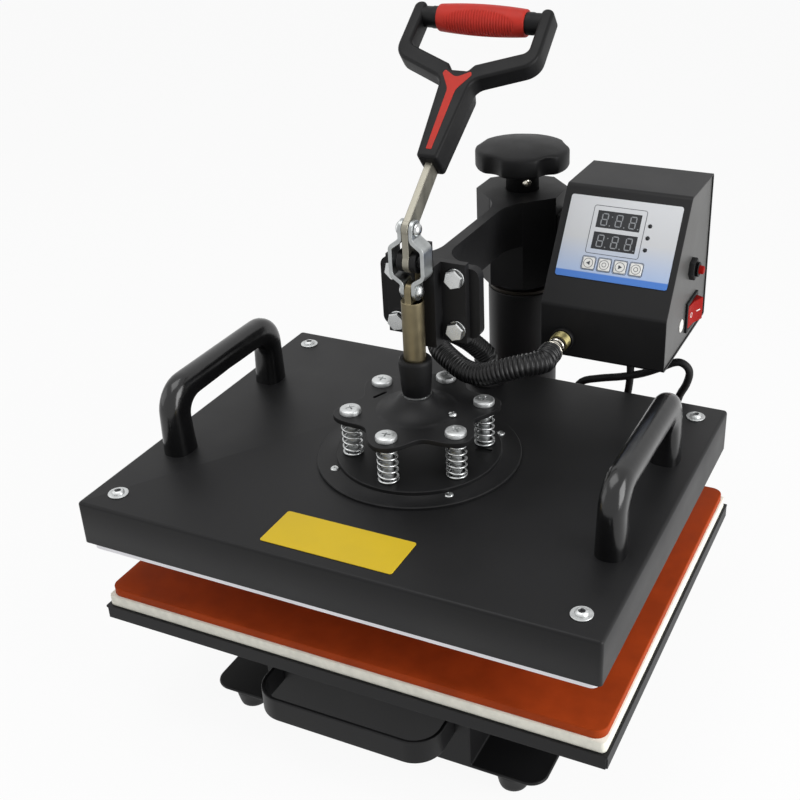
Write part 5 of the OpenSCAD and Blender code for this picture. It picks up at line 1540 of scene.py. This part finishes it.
def head_springs():
    """Six coil springs between the seat and the star plate."""
    wire = sizes().spring_wire / 2
    tall = STAR_LOW.z - SEAT_HIGH.z
    made = linked("head_springs_wound", bpy.data.meshes.new("head_springs_wound"))
    values = {
        "Wire": wire,
        "Coil Radius": SPRING_RADIUS * MM - wire,
        "Height": (tall - 2 * SPRING_GAP) * MM - 2 * wire,
        "Turns": sizes().spring_turns,
        "Pitch Radius": SPRING_PITCH * MM,
        "Count": STAR_LOBES,
        "Finish": finish_of("bright_zinc_plate"),
    }
    settle(made, springs_tree(), values)
    seat = Matrix.Translation((0, RAM_Y * MM, (SEAT_HIGH.z + SPRING_GAP) * MM + wire))
    made.data.transform(seat @ turned(STAR_FIRST))
    finished(made, "bright_zinc_plate", "platen", ("springs",), crease=60)
    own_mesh(made)


def spring_seat():
    """Stepped round seat with a pocket beside one spring."""
    outer = (SEAT_HIGH.y - SEAT_LOW.y) / 2
    step, rim, top = SEAT_INNER, SEAT_HIGH.z - SEAT_STEP, SEAT_HIGH.z
    profile = (
        (0, SEAT_LOW.z), (outer, SEAT_LOW.z), (outer, rim - 0.6), (outer - 0.6, rim), (step + 0.4, rim),
        (step, rim + 0.3), (step, top - 0.5), (step - 0.5, top), (0, top),
    )
    beside = RAM @ Matrix.Translation((47, 14, 0))
    pocket = prism(bmesh.new(), rounded(oblong(13, 6, 1.2)), top - 1.2, top + 1, beside)
    seat = carved(lathe(bmesh.new(), profile, RAM, 96), pocket)
    piece("spring_seat_pressed", seat, "satin_powder_coat", "platen", ("spring_seat",))


def cover_screws():
    """Button screws with washers in the cover's corners, and small screws round the spring seat."""
    corner = lathe(bmesh.new(), BUTTON_PROFILE, steps=32)
    lathe(corner, CORNER_WASHER)
    places = []
    for at in corner_places("cover_screws", CORNER_INSET, COVER_HIGH.z):
        places.append(Matrix.Translation(at) @ Matrix.Rotation(at[0] * at[1], 4, "Z"))
    stands_for = ("cover_screws",)
    repeat("cover_corner_screws", corner, places, "dull_zinc_plate", "platen", stands_for, 32)
    # Dark disc at the foot of each screw's socket: painted shade of the recess in the black oxide finish,
    # not a part of the screw
    socket = lathe(bmesh.new(), ring_profile(0, 2.4, 1.5, 1.9), steps=24)
    repeat("cover_screw_sockets", socket, places, "black_oxide_steel", "platen", crease=32)
    profile = ((0, 0), (3.3, 0), (3.3, 0.4), (2.7, 1.1), (1.6, 1.35), (0, 1.4))
    small = cross_head(profile, 28, 0.8, 1.9)
    ring = circle_places(SEAT_SCREW_PITCH, 4, 45, SEAT_HIGH.z - SEAT_STEP)
    repeat("seat_screws", small, ring, "bright_zinc_plate", "platen", crease=32)


# Lift handles: half width, depth of legs and bar, and the radii of the bow's corners
HANDLE_HALF = 11
HANDLE_LEG = 25
HANDLE_BAR = 21
BOW_OUTER = 26
BOW_INNER = 12


def bow_stations(half, tall):
    """Outer point, inner point and half width along a bow handle, from its front foot to its back one."""
    leg_in, bar_in = half - HANDLE_LEG, tall - HANDLE_BAR
    stations = []
    for share in (0, 0.04, 0.1, 0.3, 0.55, 0.8, 1):
        taper = 3.0 * (1 - (1 - share) ** 2)
        out = (half - 1.6 * share * 0.3, (tall - BOW_OUTER) * share)
        inside = (leg_in + taper * 0.4, (bar_in - BOW_INNER) * share)
        stations.append((out, inside, HANDLE_HALF - 1.2 * share))
    for angle in range(10, 91, 10):
        c, s = math.cos(math.radians(angle)), math.sin(math.radians(angle))
        out = (half - BOW_OUTER + (BOW_OUTER - 0.48) * c, tall - BOW_OUTER + BOW_OUTER * s)
        inside = (leg_in - BOW_INNER + (BOW_INNER + 1.2) * c, bar_in - BOW_INNER + BOW_INNER * s)
        stations.append((out, inside, 9.8 - 0.3 * angle / 90))
    for share in (0.66, 0.33):
        out = ((half - BOW_OUTER) * share, tall)
        inside = ((leg_in - BOW_INNER) * share, bar_in + 0.6 * (1 - share))
        stations.append((out, inside, 9.5))
    stations.append(((0, tall), (0, bar_in + 0.8), 9.5))
    return stations + [((-o[0], o[1]), (-i[0], i[1]), w) for o, i, w in reversed(stations[:-1])]


def lift_handle(shape, x, low, high):
    """Bow handle: tapered legs, round corners and a fuller grip, lofted along the bow."""
    rings = []
    for out, inside, wide in bow_stations((high.y - low.y) / 2, high.z - low.z):
        centre = Vector((0, (out[0] + inside[0]) / 2, (out[1] + inside[1]) / 2))
        deep = Vector((0, out[0] - inside[0], out[1] - inside[1])) / 2
        ring = []
        for angle in ring_angles(32):
            power = 2 / (2.4 if math.sin(angle) > 0 else 3.2)
            u, v = (math.copysign(abs(s) ** power, s) for s in (math.cos(angle), math.sin(angle)))
            ring.append(Vector((x, RAM_Y, low.z)) + centre + Vector((wide * u, 0, 0)) + deep * v)
        rings.append(ring)
    loft(shape, rings)


def lift_handles():
    """Two polished bow handles on the cover."""
    low, high = span("lift_handles")
    shape = bmesh.new()
    for x in (low.x + HANDLE_HALF, high.x - HANDLE_HALF):
        lift_handle(shape, x, low, high)
    stands_for = ("lift_handles",)
    piece("lift_handles_moulded", shape, "polished_black_abs", "platen", stands_for, crease=60)


def hose_gland():
    """Ribbed ring that the hose goes down into."""
    at = middle("hose_gland")
    low, high = span("hose_gland")
    profile = (
        (HOSE_BORE, low.z), (14, low.z), (14, low.z + 2.2), (13.2, low.z + 3), (11.4, low.z + 3),
        (11.4, high.z - 1), (10.8, high.z), (HOSE_BORE + 0.5, high.z), (HOSE_BORE, high.z - 0.5),
    )
    shape = lathe(bmesh.new(), profile, Matrix.Translation((at.x, at.y, 0)), closed=True)
    piece("hose_gland_ring", shape, "moulded_black_nylon", "platen", ("hose_gland",))


def plain_plate():
    """Plain painted plate on the cover's front."""
    low, high = span("plain_plate")
    at = Matrix.Translation(((low.x + high.x) / 2, (low.y + high.y) / 2, 0))
    shape = prism(bmesh.new(), rounded(oblong(high.x - low.x, high.y - low.y, 2)), low.z, high.z, at)
    finish = "yellow_painted_plate"
    piece("plain_plate_painted", shape, finish, "platen", ("plain_plate",), 0.2)


# The cover's rim stands this much above the solid's, so that the heater's bright edge shows below it
COVER_RIM = 2.2


def head_cover():
    """Deep-drawn sheet cover, open below, with round bends along its top and a hole for the hose."""
    tall = COVER_HIGH.z - COVER_LOW.z
    profile = [
        (SHEET + 0.8, tall - SHEET), (SHEET, tall - SHEET - 0.8), (SHEET, COVER_RIM + 0.2),
        (SHEET - 0.2, COVER_RIM), (0.2, COVER_RIM), (0, COVER_RIM + 0.2),
    ]
    profile += quarter_round(sizes().cover_bend / MM, tall)
    shape = slab(bmesh.new(), COVER_LOW, COVER_HIGH, 3, profile)
    under_gland = Matrix.Translation((HOSE_ROUTE[-1][0], HOSE_ROUTE[-1][1], COVER_HIGH.z))
    hole = lathe(bmesh.new(), ring_profile(0, HOSE_BORE, -5, 5), under_gland, 32)
    shell = carved(shape, hole)
    stands_for = ("platen_cover",)
    piece("head_cover_drawn", shell, "satin_powder_coat", "platen", stands_for, crease=50)


class PRESS_OT_platen(bpy.types.Operator):
    """Finishes the heater head: cover, springs, screws, lift handles and platen"""

    bl_idname = "press.platen"
    bl_label = "Heater head"

    def execute(self, context):
        head_cover()
        softened("heater_plate", "heater_platen", "machined_aluminium", 0.8)
        dressed("heating_tube", "bright_zinc_plate")
        dressed("insulation", "ceramic_wool")
        spring_seat()
        spring_screws()
        head_springs()
        cover_screws()
        lift_handles()
        hose_gland()
        plain_plate()
        return {"FINISHED"}


# Digits: bar of a segment, its thickness and spread, lean of the digit, and how far print stands proud
SEGMENT_BAR = 4.3
SEGMENT_THICK = 0.85
SEGMENT_SPREAD = 1.06
DIGIT_LEAN = 0.1
DIGIT_XS = (-11.3, 0.2, 11.2)
POINT_XS = (-6.6, 4.9, 15.9)
POINT_DOWN = 4.6
COLON_X, COLON_DOWN = -5.6, -2.6
INK_SUNK, INK_PROUD = 0.1, 0.07
# Tilt of the rocker's two faces in degrees, and place of each mark out from the end plate and along it
ROCKER_ON = (20.7, 5.42, 4.8)
ROCKER_OFF = (5.3, 2.77, -6.7)
# Reset button: corner of its nut, turn of the nut and threads that show
NUT_CORNER = 9
NUT_TURN = 12
NUT_THREADS = 6
# White plug's place on the end plate
SPARE_HOLE = (99.5, 274.3)
# Cord gland: collar under the box and segments of its tail
GLAND_COLLAR = 2.4
GLAND_SEGMENTS = 7


def box_shell():
    """Folded sheet of the box with round bends, open at both ends."""
    bend = sizes().bend / MM
    corners = [
        (BOX_LOW.y, BOX_LOW.z, 2.5), (BOX_HIGH.y, BOX_LOW.z, 2.5), (BOX_HIGH.y, BOX_HIGH.z, 2.5),
        (BEND_Y, BEND_Z, bend), (BOX_LOW.y, BOX_LOW.z + BOX_FRONT_HEIGHT, bend),
    ]
    outer = rounded(corners, 7)
    shape = hoop(bmesh.new(), outer, inset_line(outer, SHEET), BOX_LOW.x, BOX_HIGH.x, SIDEWAYS)
    piece("box_shell_folded", shape, "satin_powder_coat", "arm", ("box_shell",), 0.35, 50)


def face_label():
    """Printed film with windows for the displays, lamps and keys."""
    place = on_panel(LABEL_X, LABEL_DOWN + LABEL_HEIGHT / 2)
    shape = prism(bmesh.new(), rounded(oblong(LABEL_WIDTH, LABEL_HEIGHT, 2)), 0, LABEL_THICK, place)
    display = oblong(DISPLAY_WIDTH - 3, DISPLAY_HEIGHT - 1, 0.4)
    key = oblong(KEY_SIDE + 0.6, KEY_SIDE + 0.6, 1.3)
    lamp = oblong(3.4, 3.4, 1.69)
    windows = [(display, on_panel(DISPLAY_X, down)) for down in DISPLAY_DOWNS]
    windows += [(key, on_panel(middle(node).x, KEY_DOWN)) for node in KEY_NODES]
    windows += [(lamp, on_panel(LAMP_X, down)) for down in LAMP_DOWNS]
    film = carved(shape, *(prism(bmesh.new(), rounded(corners), -1, 2, at) for corners, at in windows))
    piece("face_label_printed", film, panel_film().name, "arm", ("face_label",), crease=30)


def line_frame(shape, wide, high, radius, line, place):
    """Thin printed outline of a rounded rectangle."""
    outer = rounded(oblong(wide, high, radius))
    inner = rounded(oblong(wide - 2 * line, high - 2 * line, max(radius - line, 0.2)))
    hoop(shape, outer, inner, LABEL_THICK - INK_SUNK, LABEL_THICK + 0.06, place)


def panel_print():
    """Printed outlines round the displays and the keys."""
    shape = bmesh.new()
    between = sum(DISPLAY_DOWNS) / 2
    line_frame(shape, DISPLAY_WIDTH + 4.5, 38.4, 2, 0.45, on_panel(DISPLAY_X, between))
    for node in KEY_NODES:
        line_frame(shape, KEY_SIDE + 1.9, KEY_SIDE + 1.9, 1.6, 0.4, on_panel(middle(node).x, KEY_DOWN))
    piece("panel_print_lines", shape, "dark_print_ink", "arm")


def displays():
    """Two smoked displays behind the film, and the three dark lamps."""
    shape = bmesh.new()
    for down in DISPLAY_DOWNS:
        outline = rounded(oblong(DISPLAY_WIDTH - 0.8, DISPLAY_HEIGHT, 0.5))
        prism(shape, outline, -7, DISPLAY_FACE, on_panel(DISPLAY_X, down))
    for down in LAMP_DOWNS:
        dome = ((0, -6), (1.5, -6), (1.5, 0.5), (1.3, 1.0), (0.8, 1.35), (0, 1.5))
        lathe(shape, dome, on_panel(LAMP_X, down), 20)
    piece("display_faces", shape, "smoked_acrylic", "arm", ("display_module",))


def display_digits():
    """Unlit seven-segment digits with their points, three to a display."""
    half, tip = SEGMENT_BAR / 2, SEGMENT_THICK / 2
    outline = [
        (-half, 0), (-half + tip, -tip), (half - tip, -tip),
        (half, 0), (half - tip, tip), (-half + tip, tip),
    ]
    segments = [(0, SEGMENT_BAR, 0), (0, 0, 0), (0, -SEGMENT_BAR, 0)]
    segments += [(x * half, y * half, 90) for x in (-1, 1) for y in (-1, 1)]
    places = []
    dots = []
    for down in DISPLAY_DOWNS:
        for x in DIGIT_XS:
            digit = on_panel(DISPLAY_X + x, down, DISPLAY_FACE)
            for sx, sy, degrees in segments:
                at = Matrix.Translation((sx * SEGMENT_SPREAD + sy * DIGIT_LEAN, sy * SEGMENT_SPREAD, 0))
                places.append(digit @ at @ turned(degrees))
        for x in POINT_XS:
            dots.append(on_panel(DISPLAY_X + x, down + POINT_DOWN, DISPLAY_FACE))
        dots.append(on_panel(DISPLAY_X + COLON_X, down + COLON_DOWN, DISPLAY_FACE))
    bar = prism(bmesh.new(), outline, -INK_SUNK, 0.08)
    repeat("display_digits", bar, places, "unlit_segment", "arm", crease=30)
    dot = lathe(bmesh.new(), ring_profile(0, 0.5, -INK_SUNK, 0.08), steps=14)
    repeat("display_points", dot, dots, "unlit_segment", "arm", crease=30)


def panel_keys():
    """Four square key caps with raised rings, two of them with arrowheads."""
    arrows = {"key_down": 180, "key_up": 0}
    arrowhead = rounded([(-1.2, -1.7, 0.2), (1.9, 0, 0.2), (-1.2, 1.7, 0.2)])
    ink = (KEY_TOP - INK_SUNK, KEY_TOP + INK_PROUD)
    for node in KEY_NODES:
        place = on_panel(middle(node).x, KEY_DOWN)
        cap = prism(bmesh.new(), rounded(oblong(KEY_SIDE, KEY_SIDE, 1.2)), -5, KEY_TOP, place)
        piece(node + "_cap", cap, "silver_key_cap", body_of(node), (node,), 0.45)
        mark = lathe(bmesh.new(), ring_profile(3.4, 3.8, *ink), place, closed=True)
        if node in arrows:
            prism(mark, arrowhead, *ink, place @ turned(arrows[node]))
        else:
            lathe(mark, ring_profile(1.4, 1.8, *ink), place, 28, closed=True)
        piece(node + "_mark", mark, "dark_print_ink", body_of(node))


def on_rocker(tilt, out, along):
    """Placement on one of the rocker's faces."""
    at = middle("rocker_bezel")
    return facing((END_FACE + out, at.y + along, at.z), polar(1, -math.radians(tilt)))


def rocker_marks():
    """White on and off marks on the rocker's two faces."""
    shape = prism(bmesh.new(), rounded(oblong(5, 0.9, 0.3)), -0.2, 0.06, on_rocker(*ROCKER_ON))
    lathe(shape, ring_profile(1.5, 2.2, -0.2, 0.06), on_rocker(*ROCKER_OFF), 24, closed=True)
    piece("rocker_marks_white", shape, "white_pad_print", "rocker")


def reset_fitting():
    """Hexagon nut, threaded bushing and red plunger of the reset button."""
    at = middle("reset_bushing")
    reach = span("reset_bushing")[1].x - END_FACE
    tip = span("reset_button")[1].x - END_FACE
    place = facing((END_FACE, at.y, at.z), (1, 0, 0), NUT_TURN)
    shape = lathe(bmesh.new(), ((NUT_CORNER, 0), (NUT_CORNER, 3.7), (NUT_CORNER * 0.92, 4.5)), place, 6)
    thread = [(3.6, -9), (6, -9)]
    for i in range(NUT_THREADS):
        thread += [(5.5, 4.4 + i * 0.4), (6, 4.6 + i * 0.4)]
    thread += [(5.4, reach), (4.2, reach), (3.6, reach - 0.8)]
    lathe(shape, thread, place, 36, closed=True)
    piece("reset_bushing_nut", shape, "moulded_black_nylon", "arm", ("reset_bushing",))
    profile = ((0, -3.5), (3.4, -3.5), (3.4, tip - 1.2), (3.0, tip - 0.35), (2.2, tip), (0, tip))
    plunger = lathe(bmesh.new(), profile, place, 32)
    piece("reset_plunger", plunger, "red_polycarbonate", "reset", ("reset_button",))


def hose_socket():
    """Panel connector of the hose: dark flange, brass body and nickel clamp nut."""
    at = middle("hose_socket")
    place = facing((at.x, BOX_LOW.y, at.z), (0, -1, 0))
    rim = ((0, -8), (7, -8), (7, 0), (8.6, 0), (9, 0.5), (9, 3.2), (8.4, 4), (0, 4))
    flange = lathe(bmesh.new(), rim, place)
    piece("hose_socket_flange", flange, "moulded_black_nylon", "arm", ("hose_socket",))
    grooves = [(0, 4), (7, 4)]
    for i in range(5):
        grooves += [(7.5, 4.6 + i * 1.5), (6.9, 5.3 + i * 1.5), (7.5, 6.0 + i * 1.5)]
    body = lathe(bmesh.new(), grooves + [(7, 12.6), (0, 12.6)], place)
    piece("hose_socket_body", body, "chromated_brass", "arm")
    profile = (
        (0, 12), (5.6, 12), (6.6, 12.8), (6.6, 16.6), (6, 17.2), (6, 18.4), (6.8, 19), (6.8, 22.6),
        (6.2, 23.4), (6.2, 24.6), (8.4, 25.2), (8.8, 25.8), (8.8, 26.6), (8.4, 27), (0, 27),
    )
    piece("hose_socket_nut", lathe(bmesh.new(), profile, place), "nickel_plate", "arm")


def end_plate_plug():
    """White plug in the spare hole beside the power switch."""
    profile = ((0, -1), (4.6, -1), (5.3, 0), (5.3, 0.4), (4.8, 0.8), (0, 1))
    shape = lathe(bmesh.new(), profile, facing((END_FACE, *SPARE_HOLE), (1, 0, 0)), 36)
    piece("end_plate_plug", shape, "white_pad_print", "arm")


def cord_gland():
    """Segmented strain relief under the box."""
    at = middle("cord_gland")
    place = facing((at.x, at.y, BOX_LOW.z), (0, 0, -1))
    tall = BOX_LOW.z - GLAND_TIP
    step = (tall - GLAND_COLLAR) / GLAND_SEGMENTS
    profile = [(0, -4.4), (8.5, -4.4), (8.5, 0), (8.4, 1.6), (7, 2.2)]
    for i in range(GLAND_SEGMENTS):
        radius = 7 - 2.3 * (i + 0.2) / GLAND_SEGMENTS
        start = GLAND_COLLAR + step * i
        profile += [(radius - 0.7, start), (radius, start + 0.3 * step), (radius - 0.1, start + 0.8 * step)]
    profile += [(4.2, tall - 0.2), (3.4, tall), (0, tall)]
    shape = lathe(bmesh.new(), profile, place, 32)
    piece("cord_gland_segmented", shape, "black_rubber", "arm", ("cord_gland",))


class PRESS_OT_box(bpy.types.Operator):
    """Folds the control box and fits its film, displays, keys, switches and connectors"""

    bl_idname = "press.box"
    bl_label = "Control box"

    def execute(self, context):
        box_shell()
        # End plates in a paler grey, which partly paints the light on the box's right-facing side
        softened("box_end_plates_cut", "box_end_plates", "grey_lacquer", 0.3)
        face_label()
        panel_print()
        displays()
        display_digits()
        panel_keys()
        softened("rocker_frame", "rocker_bezel", "moulded_black_nylon", 0.5)
        softened("rocker_red", "rocker_switch", "red_polycarbonate", 0.5)
        rocker_marks()
        reset_fitting()
        hose_socket()
        end_plate_plug()
        cord_gland()
        dressed("circuit_board", "green_laminate")
        dressed("relay_block", "moulded_black_nylon")
        return {"FINISHED"}


STEPS = (
    PRESS_OT_stage, PRESS_OT_cords, PRESS_OT_base, PRESS_OT_table, PRESS_OT_arm, PRESS_OT_knob,
    PRESS_OT_lever, PRESS_OT_links, PRESS_OT_head, PRESS_OT_platen, PRESS_OT_box,
)


class PRESS_PT_panel(bpy.types.Panel):
    """Buttons that build the press, and the sizes and colours that they use"""

    bl_idname = "PRESS_PT_panel"
    bl_label = "Heat press"
    bl_space_type = "VIEW_3D"
    bl_region_type = "UI"
    bl_category = "Heat press"

    def draw(self, context):
        for step in STEPS:
            self.layout.operator(step.bl_idname)
        for group in (context.scene.press_sizes, context.scene.press_colours):
            for name in group.__annotations__:
                self.layout.prop(group, name)


CLASSES = (PressColours, PressSizes, *STEPS, PRESS_PT_panel)


def register():
    """Registers the classes and hangs the settings on the scene."""
    for item in CLASSES:
        bpy.utils.register_class(item)
    bpy.types.Scene.press_colours = PointerProperty(type=PressColours)
    bpy.types.Scene.press_sizes = PointerProperty(type=PressSizes)


def unregister():
    """Takes the settings and the classes away again."""
    del bpy.types.Scene.press_sizes
    del bpy.types.Scene.press_colours
    for item in reversed(CLASSES):
        bpy.utils.unregister_class(item)


def main():
    """Builds the press step by step."""
    register()
    for step in STEPS:
        group, name = step.bl_idname.split(".")
        getattr(getattr(bpy.ops, group), name)()


if __name__ == "__main__":
    main()
